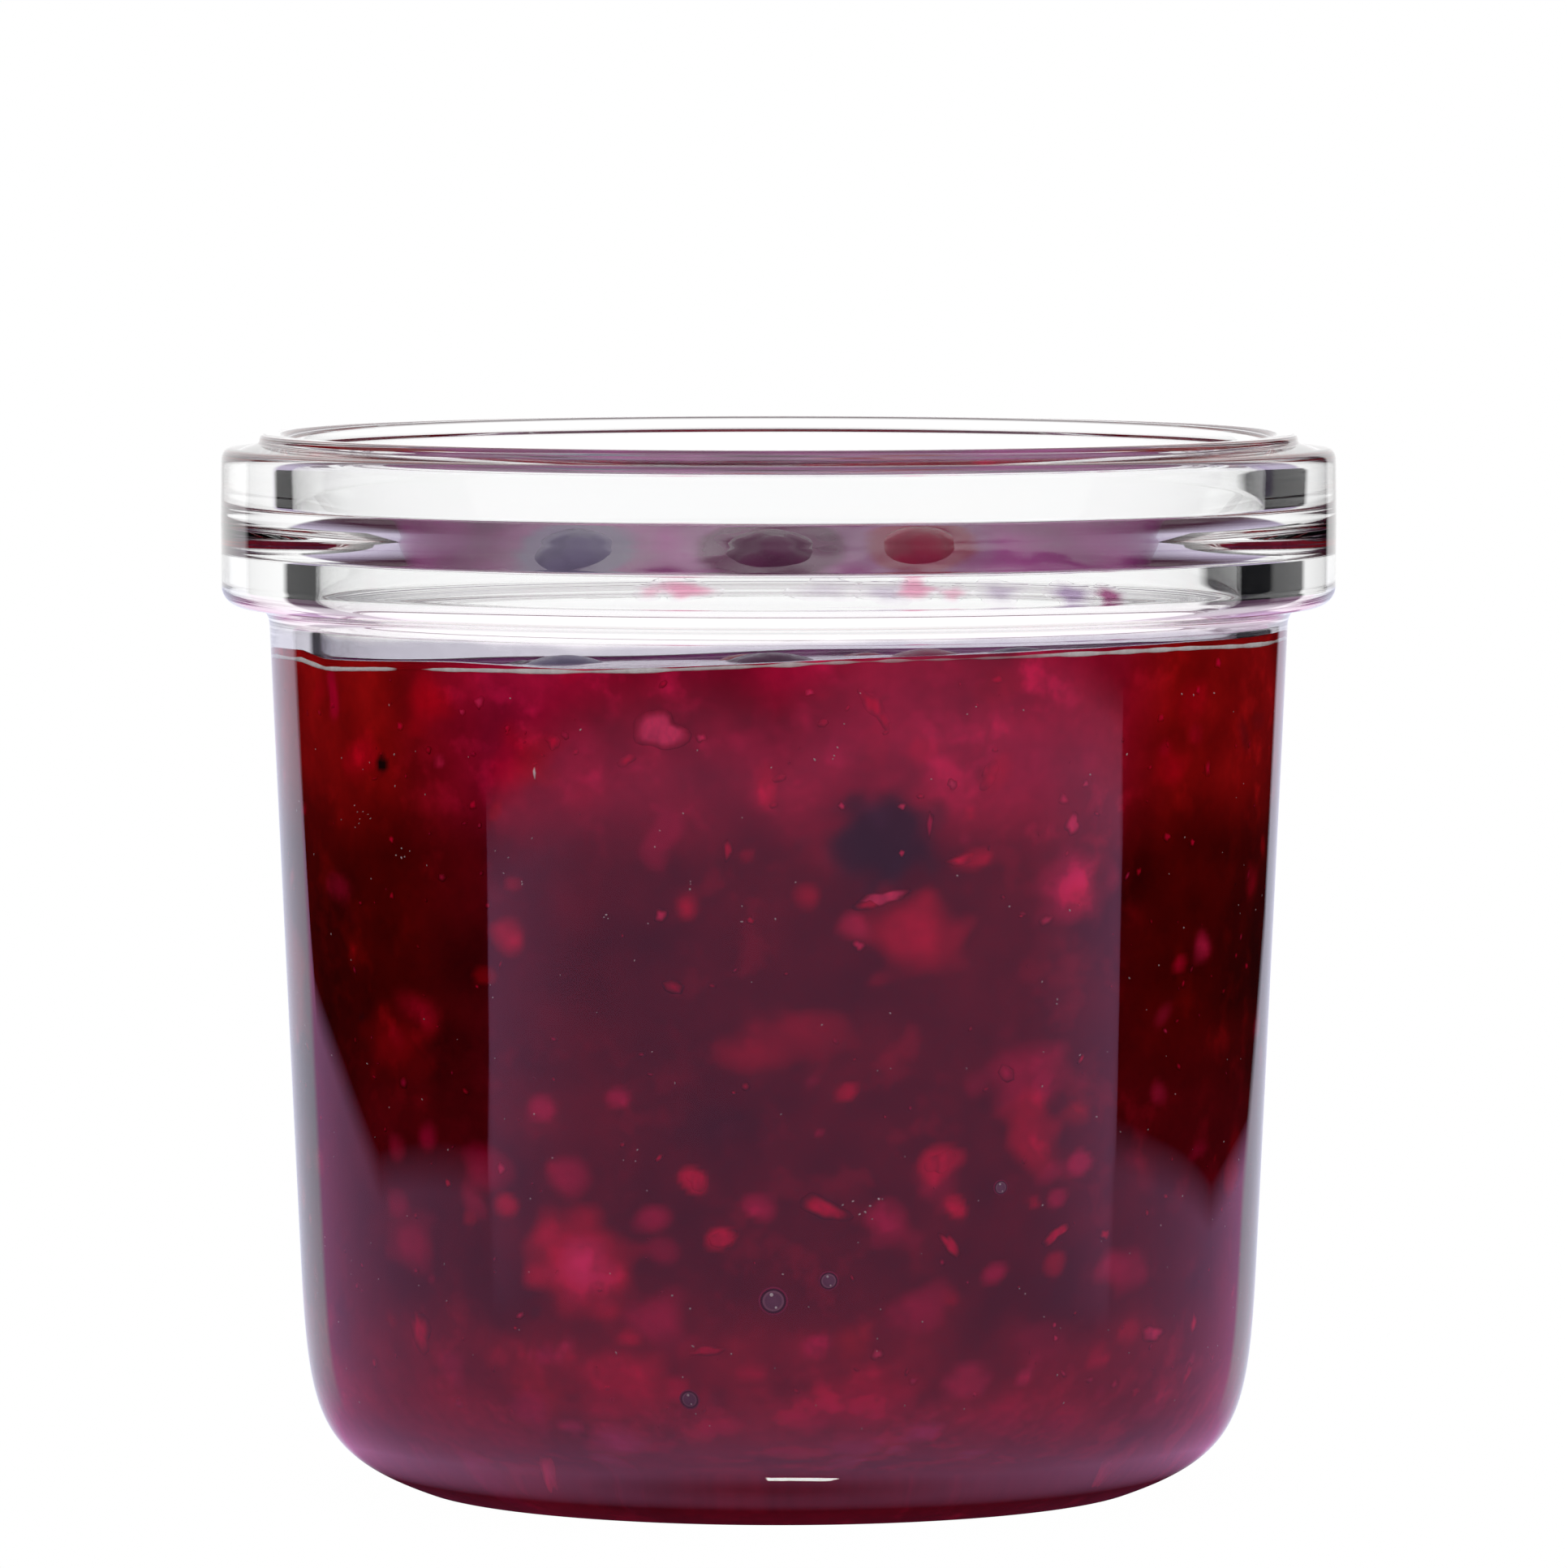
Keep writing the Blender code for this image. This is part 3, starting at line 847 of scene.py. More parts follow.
CRISP_BITS = (
    Lump(-8.9, 60.7, 4.0, 3.1, Shade.PALE, 0.85, 0.3, -8),
    Lump(-22.5, 62.5, 0.9, 1.0, Shade.PINK, 0.8, 0.5),
    Lump(-23.8, 61.7, 0.6, 0.6, Shade.PINK, 0.7, 0.5),
    Lump(-28.6, 60.4, 0.8, 0.7, Shade.RED, 0.8, 0.5),
    Lump(-26.4, 58.7, 0.6, 0.6, Shade.RED, 0.6, 0.6),
    Lump(-23.0, 54.7, 0.7, 0.7, Shade.RED, 0.8, 0.5),
    Lump(-29.3, 51.7, 0.7, 0.6, Shade.RED, 0.6, 0.5),
    Lump(-29.3, 47.4, 0.6, 0.6, Shade.RED, 0.5, 0.5),
    Lump(-16.9, 59.7, 1.2, 1.1, Shade.RED, 0.9, 0.5),
    Lump(-18.3, 57.3, 0.35, 0.9, Shade.WHITE, 0.8, 0.4),
    Lump(-11.4, 58.4, 1.4, 0.8, Shade.RED, 0.6, 0.6, 30),
    Lump(-5.8, 60.2, 0.8, 0.7, Shade.PINK, 0.8, 0.5),
    Lump(-3.8, 51.8, 0.7, 1.7, Shade.RED, 0.8, 0.5),
    Lump(-8.8, 46.8, 0.9, 1.3, Shade.PINK, 0.7, 0.5, -35),
    Lump(-2.1, 46.5, 0.7, 0.6, Shade.RED, 0.6, 0.5),
    Lump(7.0, 62.7, 1.3, 2.6, Shade.RED, 1.0, 0.5, 40),
    Lump(7.8, 61.6, 0.8, 1.8, Shade.RED, 0.7, 0.6, 35),
    Lump(2.3, 63.6, 0.8, 0.5, Shade.PINK, 0.8, 0.5),
    Lump(16.4, 64.4, 0.8, 0.7, Shade.RED, 0.9, 0.5),
    Lump(15.8, 57.2, 1.2, 2.2, Shade.RED, 0.7, 0.6, -30),
    Lump(13.0, 56.6, 0.8, 0.8, Shade.PALE, 0.6, 0.5),
    Lump(4.7, 55.1, 0.6, 0.6, Shade.PINK, 0.8, 0.5),
    Lump(9.2, 55.0, 0.65, 0.65, Shade.PALE, 0.6, 0.5),
    Lump(9.2, 51.5, 0.55, 0.55, Shade.PINK, 0.8, 0.5),
    Lump(11.3, 53.6, 0.5, 2.2, Shade.ROSE, 0.9, 0.5, -4),
    Lump(13.6, 50.9, 2.0, 0.9, Shade.RED, 0.8, 0.6, 14),
    Lump(22.1, 53.3, 1.3, 1.8, Shade.PINK, 0.9, 0.4, -15),
    Lump(21.4, 55.2, 1.0, 0.8, Shade.PINK, 0.6, 0.6),
    Lump(23.1, 56.3, 0.6, 0.6, Shade.PALE, 0.6, 0.5),
    Lump(7.7, 48.1, 3.8, 1.2, Shade.PALE, 0.8, 0.35, 9),
    Lump(6.7, 47.7, 2.2, 1.0, Shade.RED, 0.8, 0.6, 5),
    Lump(20.1, 46.1, 1.3, 0.8, Shade.PALE, 0.5, 0.6, 20),
    Lump(6.0, 44.6, 1.0, 0.9, Shade.PINK, 0.7, 0.5),
    Lump(33.4, 64.9, 1.0, 1.0, Shade.RED, 0.9, 0.5),
    Lump(31.8, 62.9, 0.7, 0.7, Shade.RED, 0.8, 0.5),
    Lump(28.9, 61.0, 0.7, 0.7, Shade.RED, 0.7, 0.5),
    Lump(32.6, 56.9, 1.0, 1.3, Shade.RED, 0.8, 0.6),
    Lump(29.4, 51.9, 0.9, 0.8, Shade.RED, 0.8, 0.5),
    Lump(31.4, 51.3, 0.7, 0.6, Shade.RED, 0.8, 0.5),
    Lump(27.2, 49.4, 0.7, 0.7, Shade.RED, 0.5, 0.6),
    Lump(-27.2, 14.2, 1.9, 3.7, Shade.RED, 0.9, 0.5, 14),
    Lump(-25.0, 25.8, 0.7, 0.7, Shade.RED, 0.6, 0.5),
    Lump(-20.9, 27.2, 0.9, 0.9, Shade.PINK, 0.8, 0.5),
    Lump(-6.1, 26.9, 1.5, 1.6, Shade.RED, 0.8, 0.5, 30),
    Lump(-4.2, 22.5, 2.0, 1.3, Shade.RED, 0.8, 0.5, 12),
    Lump(-5.4, 14.0, 2.5, 0.8, Shade.RED, 0.9, 0.4, 8),
    Lump(-24.3, 9.1, 1.0, 0.7, Shade.PINK, 0.7, 0.5, 40),
    Lump(-17.8, 5.9, 1.1, 1.5, Shade.PINK, 0.7, 0.5, 10),
    Lump(20.8, 15.3, 0.5, 0.5, Shade.PINK, 0.8, 0.5),
    Lump(20.9, 14.3, 0.5, 0.5, Shade.PINK, 0.8, 0.5),
    Lump(7.4, 13.7, 1.0, 0.9, Shade.PALE, 0.6, 0.5),
    Lump(3.4, 24.8, 3.7, 1.7, Shade.RED, 0.95, 0.45, -24),
    Lump(12.9, 21.8, 2.5, 1.0, Shade.RED, 1.0, 0.4, -52),
    Lump(20.9, 22.2, 2.8, 1.0, Shade.RED, 1.0, 0.4, 35),
    Lump(24.7, 21.9, 1.0, 1.0, Shade.RED, 0.7, 0.5),
    Lump(12.1, 28.1, 2.2, 1.6, Shade.RED, 0.7, 0.6, 25),
    Lump(28.4, 13.9, 2.4, 1.5, Shade.PINK, 0.9, 0.4, -8),
    Lump(31.7, 14.2, 1.1, 1.5, Shade.RED, 0.9, 0.5, -10),
    Lump(31.3, 10.4, 1.1, 1.8, Shade.RED, 0.8, 0.5, -10),
    Lump(27.6, 6.9, 3.0, 1.5, Shade.PINK, 0.8, 0.5, 40),
    Lump(27.2, 9.6, 1.1, 0.7, Shade.RED, 0.7, 0.5),
    Lump(10.1, 11.6, 0.8, 0.6, Shade.PINK, 0.7, 0.5),
    Lump(23.6, 10.9, 0.7, 0.6, Shade.PINK, 0.6, 0.5),
    Lump(25.5, 10.4, 0.7, 0.6, Shade.PINK, 0.6, 0.5),
)


BACK_FILMS = (
    Lump(-8.0, 68.4, 5.6, 1.9, Shade.BLUSH, 1.0, 0.4),
    Lump(-10.8, 68.3, 3.8, 1.4, Shade.BLUSH, 0.7, 0.6),
    Lump(4.0, 68.3, 7.0, 1.8, Shade.MAUVE, 0.3, 0.6),
    Lump(9.0, 68.2, 5.6, 2.0, Shade.MAUVE, 0.5, 0.6),
    Lump(11.6, 68.5, 5.0, 1.9, Shade.BLUSH, 1.0, 0.4),
    Lump(14.8, 68.2, 3.4, 1.5, Shade.BLUSH, 0.7, 0.5),
    Lump(18.8, 68.4, 6.0, 1.9, Shade.MAUVE, 0.6, 0.6),
    Lump(24.8, 68.4, 6.6, 2.0, Shade.MAUVE, 0.9, 0.5),
    Lump(28.0, 68.4, 5.0, 1.9, Shade.WINE, 0.95, 0.45),
)

# Painted highlights: groups of tiny white glints, as across, height, spread and count.
SPARKLE_GROUPS = (
    (-31.8, 53.5, 0.5, 7),
    (-28.3, 50.8, 0.25, 5),
    (6.1, 25.1, 0.9, 8),
    (-6.5, 49.2, 0.2, 3),
    (-12.9, 46.1, 0.2, 3),
    (7.4, 14.1, 0.15, 3),
)


@dataclass
class JamTone:
    """The jam's colour at any point of its face: dark at mid height, with clouds and soft lumps of fruit.

    Painted light makes it glow at the top and at the foot, where more light gets in, and changes it at the
    sides and the floor's bend. The pairs of tones are red and blue.
    """

    jar: GlassJar
    overlap: float = 0.15
    middle: tuple[float, float] = (0.066, 0.0025)
    # Painted light: red and blue added at the top and at the foot.
    top_glow: tuple[float, float] = (0.224, 0.016)
    top_glow_span: tuple[float, float] = (50.0, 59.0)
    foot_glow: tuple[float, float] = (0.194, 0.008)
    foot_glow_span: tuple[float, float] = (19.0, 7.0)
    green_share: float = 0.008
    # Painted light: at the sides the red and the blue are scaled by these shares.
    side_glow: float = 0.78
    side_blue: float = 0.12
    side_turns: tuple[float, float] = (0.55, 0.95)
    side_heights: tuple[float, float] = (25.0, 40.0)
    back_top: Colour = (0.060, 0.015, 0.040)
    back_top_share: float = 0.9
    back_turns: tuple[float, float] = (1.65, 1.9)
    back_heights: tuple[float, float] = (57.0, 61.0)
    # Painted light: the tone round the floor's bend is brightened by this share.
    bend_gain: float = 0.9
    bend_heights: tuple[float, float] = (11.5, 6.8)
    cloud: WaveField = WaveField(seed=3, wavelength=17.0)
    mottle: WaveField = WaveField(seed=5, wavelength=6.0)
    warp: WaveField = WaveField(seed=9, wavelength=3.1)
    cloud_strength: float = 0.22
    mottle_strength: float = 0.18
    clouds_between: tuple[float, float] = (0.35, 2.0)
    brightest: float = 0.95
    warp_strength: float = 0.22
    shown_reach: float = 0.985
    unseen_lumps: int = 230
    unseen_heights: tuple[float, float] = (6.0, 65.0)
    front_strengths: tuple[float, float] = (0.15, 0.45)
    back_strengths: tuple[float, float] = (0.35, 0.9)
    front_half: float = math.radians(100)
    seed: int = 21

    def face_radius(self, height: Points | float) -> Points | float:
        """Radius of the jam's face, just inside the glass, on the wall and the floor's round."""
        jar = self.jar
        top = jar.floor_height + jar.floor_round
        below = np.clip(top - np.asarray(height, float), 0.0, jar.floor_round)
        centre = jar.inner_wall(top) - jar.floor_round
        bend = centre + np.sqrt(jar.floor_round**2 - below**2)
        wall = jar.inner_wall(height)
        return np.where(below > 0, np.minimum(bend, wall), wall) + self.overlap

    def along_face(self, points: Points) -> Points:
        """Length along the jam's face from the foot's height up to each point.

        On the wall it is the height. Round the bend it falls by the bend's radius times the angle, and
        on the floor by the distance from the bend.

        Args:
            points: Rows of (x, y, z).

        Returns:
            One length for each point, in millimetres.
        """
        jar = self.jar
        top = jar.floor_height + jar.floor_round
        centre = float(jar.inner_wall(top)) - jar.floor_round
        bend = jar.floor_round + self.overlap
        out = np.hypot(points[:, 0], points[:, 1]) - centre
        angle = np.arctan2(np.maximum(top - points[:, 2], 0.0), np.maximum(out, 0.0))
        return np.where(points[:, 2] > top, points[:, 2], top - bend * angle + np.minimum(out, 0.0))

    def place(self, lump: Lump) -> tuple[float, float]:
        """Azimuth in radians and height on the jam's face of a lump that is placed from the front."""
        outer = float(self.jar.outer_wall(lump.height))
        inner = float(self.face_radius(lump.height))
        reach = self.shown_reach * inner
        return shown_at(min(max(lump.across, -reach), reach), outer, inner), lump.height

    def scattered_lumps(self) -> list[tuple[float, float, Lump]]:
        """Soft lumps all round the jam, fainter at the front where the placed ones are."""
        rng = np.random.default_rng(self.seed)
        shades = (Shade.RED, Shade.ROSE, Shade.GLOW, Shade.PINK, Shade.DARK)
        found = []
        for _ in range(self.unseen_lumps):
            azimuth = rng.uniform(-np.pi, np.pi)
            height = rng.uniform(*self.unseen_heights)
            size = rng.lognormal(0.55, 0.6)
            wide, tall = size * rng.uniform(0.8, 1.4), size * rng.uniform(0.6, 1.1)
            shade = shades[rng.choice(len(shades), p=(0.34, 0.26, 0.14, 0.1, 0.16))]
            tilt = rng.uniform(-60, 60)
            front = abs(azimuth) < self.front_half
            strength = rng.uniform(*(self.front_strengths if front else self.back_strengths))
            lump = Lump(0.0, height, wide, tall, shade, strength, rng.uniform(0.5, 1.0), tilt)
            found.append((azimuth, height, lump))
        return found

    def share_of(self, lump: Lump, azimuth: float, height: float, points: Points) -> Points:
        """How strongly a lump shows at some points of the jam's face.

        The distance from its centre, in lump sizes along its own two directions, is bent by a small
        random field, and the share falls from 1 to 0 where that distance passes 1.

        Args:
            lump: The lump.
            azimuth: Its azimuth on the face, in radians.
            height: Its height.
            points: Rows of (x, y, z).

        Returns:
            One share for each point.
        """
        around_axis = np.arctan2(points[:, 0], -points[:, 1])
        turn = (around_axis - azimuth + np.pi) % (2 * np.pi) - np.pi
        aside = turn * float(self.face_radius(height))
        middle = around(self.face_radius(height), np.array(height), np.array(azimuth))
        up = self.along_face(points) - self.along_face(middle[None])
        tilt = math.radians(lump.tilt)
        along = aside * math.cos(tilt) + up * math.sin(tilt)
        across = -aside * math.sin(tilt) + up * math.cos(tilt)
        distance = np.hypot(along * 2 / lump.wide, across * 2 / lump.tall)
        distance = distance * (1 + self.warp_strength * self.warp(points + height))
        return lump.strength * (1 - smoothstep(1 - lump.soft, 1 + 0.5 * lump.soft, distance))

    def shown(self, points: Points) -> Points:
        """The brightness that the jam's face shows at some points.

        Args:
            points: Rows of (x, y, z).

        Returns:
            Rows of linear (red, green, blue).
        """
        height = points[:, 2]
        turn = np.abs(np.arctan2(points[:, 0], -points[:, 1]))
        # Painted light: glow at the top and the foot, and other red and blue at the sides.
        top, foot = smoothstep(*self.top_glow_span, height), smoothstep(*self.foot_glow_span, height)
        glows = zip(self.middle, self.top_glow, self.foot_glow)
        red, blue = (middle + above * top + below * foot for middle, above, below in glows)
        side = smoothstep(*self.side_turns, turn) * smoothstep(*self.side_heights, height)
        red = red * (1 + (self.side_glow - 1) * side)
        blue = blue * (1 + (self.side_blue - 1) * side)
        strength = 1 + self.cloud_strength * self.cloud(points) + self.mottle_strength * self.mottle(points)
        tone = np.stack([red, self.green_share * red, blue], 1)
        tone = tone * np.clip(strength, *self.clouds_between)[:, None]
        placed = [(*self.place(lump), lump) for lump in SOFT_LUMPS]
        for azimuth_of, height_of, lump in self.scattered_lumps() + placed:
            near = np.abs(height - height_of) < lump.wide + lump.tall + 1.0
            share = self.share_of(lump, azimuth_of, height_of, points[near])
            tone[near] = blended(tone[near], np.array(lump.shade.value)[None], share)
        back = smoothstep(*self.back_turns, turn) * smoothstep(*self.back_heights, height)
        tone = blended(tone, np.array([self.back_top]), self.back_top_share * back)
        # Painted light: the floor's bend is brightened.
        gain = 1 + self.bend_gain * smoothstep(*self.bend_heights, height)
        return np.minimum(tone * gain[:, None], self.brightest)


@dataclass
class Jam:
    """The jam: one closed body, its side just inside the glass and its top slightly uneven."""

    jar: GlassJar
    tone: JamTone
    level: float = 64.8
    front_rise: float = 0.3
    front_rise_span: tuple[float, float] = (4.0, -4.0)
    rise_to_right: float = 0.024
    rise_to_back: float = -0.016
    ripple: float = 0.16
    ripple_wave: float = 5.5
    climbs: tuple[tuple[float, float], ...] = (
        (-180, 0.45), (-100, 0.9), (-72, 1.2), (-65, 0.65), (-55, 0.55), (-41, 0.42), (-25, 0.08),
        (0, 0.08), (19, 0.3), (34, 0.57), (50, 0.45), (77, 0.6), (110, 0.6), (180, 0.45),
    )
    climb_width: float = 0.55
    front_columns: int = 400
    back_columns: int = 150
    front_half: float = math.radians(105)
    wall_rows: int = 120
    bend_rows: int = 14
    floor_rings: tuple[float, ...] = (2.0, 8.0, 14.0, 20.0)
    lip_steps: tuple[float, ...] = (0.0, 0.12, 0.3, 0.55, 0.9, 1.4, 2.1)
    top_rings: int = 34
    top_start: float = 3.2
    top_hole: float = 1.2
    bend_angles: tuple[float, float] = (-84, -3)
    above_bend: float = 0.4
    overlap: float = 0.15
    # Partly the jam's own colour and partly painted lilac light from the table.
    open_colour: Colour = (0.180, 0.010, 0.125)
    open_cloud: float = 0.3
    open_mottle: float = 0.2
    open_between: tuple[float, float] = (0.2, 2.2)
    halo_colour: Colour = (0.24, 0.12, 0.22)
    halo_warp: float = 0.02
    halo_strength: float = 0.35
    halo_span: tuple[float, float] = (1.4, 1.0)
    film_strength: float = 0.85
    film_span: tuple[float, float] = (1.0, 0.8)

    def surface_height(self, x: Points, y: Points) -> Points:
        """Height of the open surface: a slightly tilted plane with a slow ripple, higher at the front."""
        wave = np.sin(x / self.ripple_wave + 0.7) * np.cos(y / self.ripple_wave - 0.4)
        front = self.front_rise * smoothstep(*self.front_rise_span, y)
        return self.level + self.rise_to_right * x + self.rise_to_back * y + self.ripple * wave + front

    def climb(self, angle: Points) -> Points:
        """How far the jam climbs the glass above its open surface at some azimuths in radians."""
        degrees = (np.degrees(angle) + 180) % 360 - 180
        return np.interp(degrees, *zip(*self.climbs))

    def contact_height(self, angle: Points) -> Points:
        """Height of the jam's edge on the glass at some azimuths in radians."""
        edge = float(self.jar.inner_wall(self.level)) + self.overlap
        return self.surface_height(edge * np.sin(angle), -edge * np.cos(angle)) + self.climb(angle)

    def azimuths(self) -> Points:
        """Places around the jam, closer together at the front than at the back."""
        edge = self.front_half
        front = np.linspace(-edge, edge, self.front_columns, endpoint=False)
        back = np.linspace(edge, 2 * np.pi - edge, self.back_columns, endpoint=False)
        return np.concatenate([front, back])

    def grid(self) -> tuple[Points, int]:
        """The jam's points from the floor's middle round the wall to the surface's middle.

        The wall's rows share the height between floor and contact line evenly at each azimuth. The
        surface's rings climb towards the wall as an exponential of the distance to it.

        Returns:
            Points as (ring, place around, xyz), and how many rings lie against the glass.
        """
        jar, angle = self.jar, self.azimuths()
        top = jar.floor_height + jar.floor_round
        centre = jar.inner_wall(top) - jar.floor_round
        floor = [(r, jar.floor_height - self.overlap) for r in (*self.floor_rings, centre)]
        bend = arc((centre, top), jar.floor_round + self.overlap, *self.bend_angles, self.bend_rows)
        low = np.concatenate([np.array(floor), bend])
        edge = float(jar.inner_wall(self.level)) + self.overlap
        contact = self.contact_height(angle)
        share = np.linspace(0, 1, self.wall_rows)[:, None]
        start = low[-1, 1] + self.above_bend
        wall_height = start + (contact[None] - start) * share
        wall_radius = jar.inner_wall(wall_height) + self.overlap
        columns = len(angle)
        low_grid = around(
            np.repeat(low[:, :1], columns, 1), np.repeat(low[:, 1:], columns, 1), angle[None]
        )
        wall_grid = around(wall_radius, wall_height, angle[None])
        rings = np.linspace(self.top_start, edge - self.top_hole, self.top_rings)
        inward = np.concatenate([self.lip_steps[1:], rings])
        radius = np.repeat((edge - inward)[:, None], columns, 1)
        x, y = radius * np.sin(angle), -radius * np.cos(angle)
        climb = self.climb(angle)[None] * np.exp(-inward / self.climb_width)[:, None]
        top_grid = np.stack([x, y, self.surface_height(x, y) + climb], -1)
        return np.concatenate([low_grid, wall_grid, top_grid]), len(low) + self.wall_rows

    def build(self) -> bpy.types.Object:
        """Builds and paints the jam.

        Returns:
            The jam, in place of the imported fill.
        """
        grid, against_glass = self.grid()
        surface = Surface()
        bottom = np.array([0.0, 0.0, self.jar.floor_height - self.overlap])
        middle = np.array([0.0, 0.0, float(self.surface_height(np.zeros(1), np.zeros(1))[0])])
        surface.add_turned(grid, bottom, middle)
        columns = grid.shape[1]
        face = grid[:against_glass].reshape(-1, 3)
        side = scattered_under_glass(self.tone.shown(face))
        open_points = np.concatenate([grid[against_glass:].reshape(-1, 3), bottom[None], middle[None]])
        surface.tones.append(np.concatenate([side, self.open_tone(open_points)]))
        jam = surface.build("jam_fill")
        jam.data.materials.append(JamAgainstGlass().material())
        jam.data.materials.append(JamSurface().material())
        rings = (against_glass - 1) * columns
        index = np.zeros(len(jam.data.polygons), np.int32)
        index[rings : (grid.shape[0] - 1) * columns] = 1
        index[len(index) - columns :] = 1
        jam.data.polygons.foreach_set("material_index", index)
        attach(jam, BODY)
        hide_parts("jam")
        return jam

    def open_tone(self, points: Points) -> Points:
        """Colour of the open surface: purple partly painted as lilac light, clouded, with a pale ring round
        each berry.

        Args:
            points: Rows of (x, y, z).

        Returns:
            Rows of linear (red, green, blue).
        """
        cloud, mottle = self.tone.cloud(points), self.tone.mottle(points)
        strength = 1 + self.open_cloud * cloud + self.open_mottle * mottle
        tone = np.array([self.open_colour]) * np.clip(strength, *self.open_between)[:, None]
        for node, kind in BERRY_KINDS.items():
            low, high = (np.array(corner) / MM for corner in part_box(node))
            middle, half = (low + high) / 2, (high - low) / 2
            reach = np.hypot(*((points - middle)[:, :2] / half[:2]).T)
            reach = reach + self.halo_warp * self.tone.warp(points)
            halo = smoothstep(*self.halo_span, reach) * self.halo_strength
            tone = blended(tone, np.array([self.halo_colour]), halo)
            film = smoothstep(*self.film_span, reach) * self.film_strength
            tone = blended(tone, np.array([kind.skin]), film)
        return tone


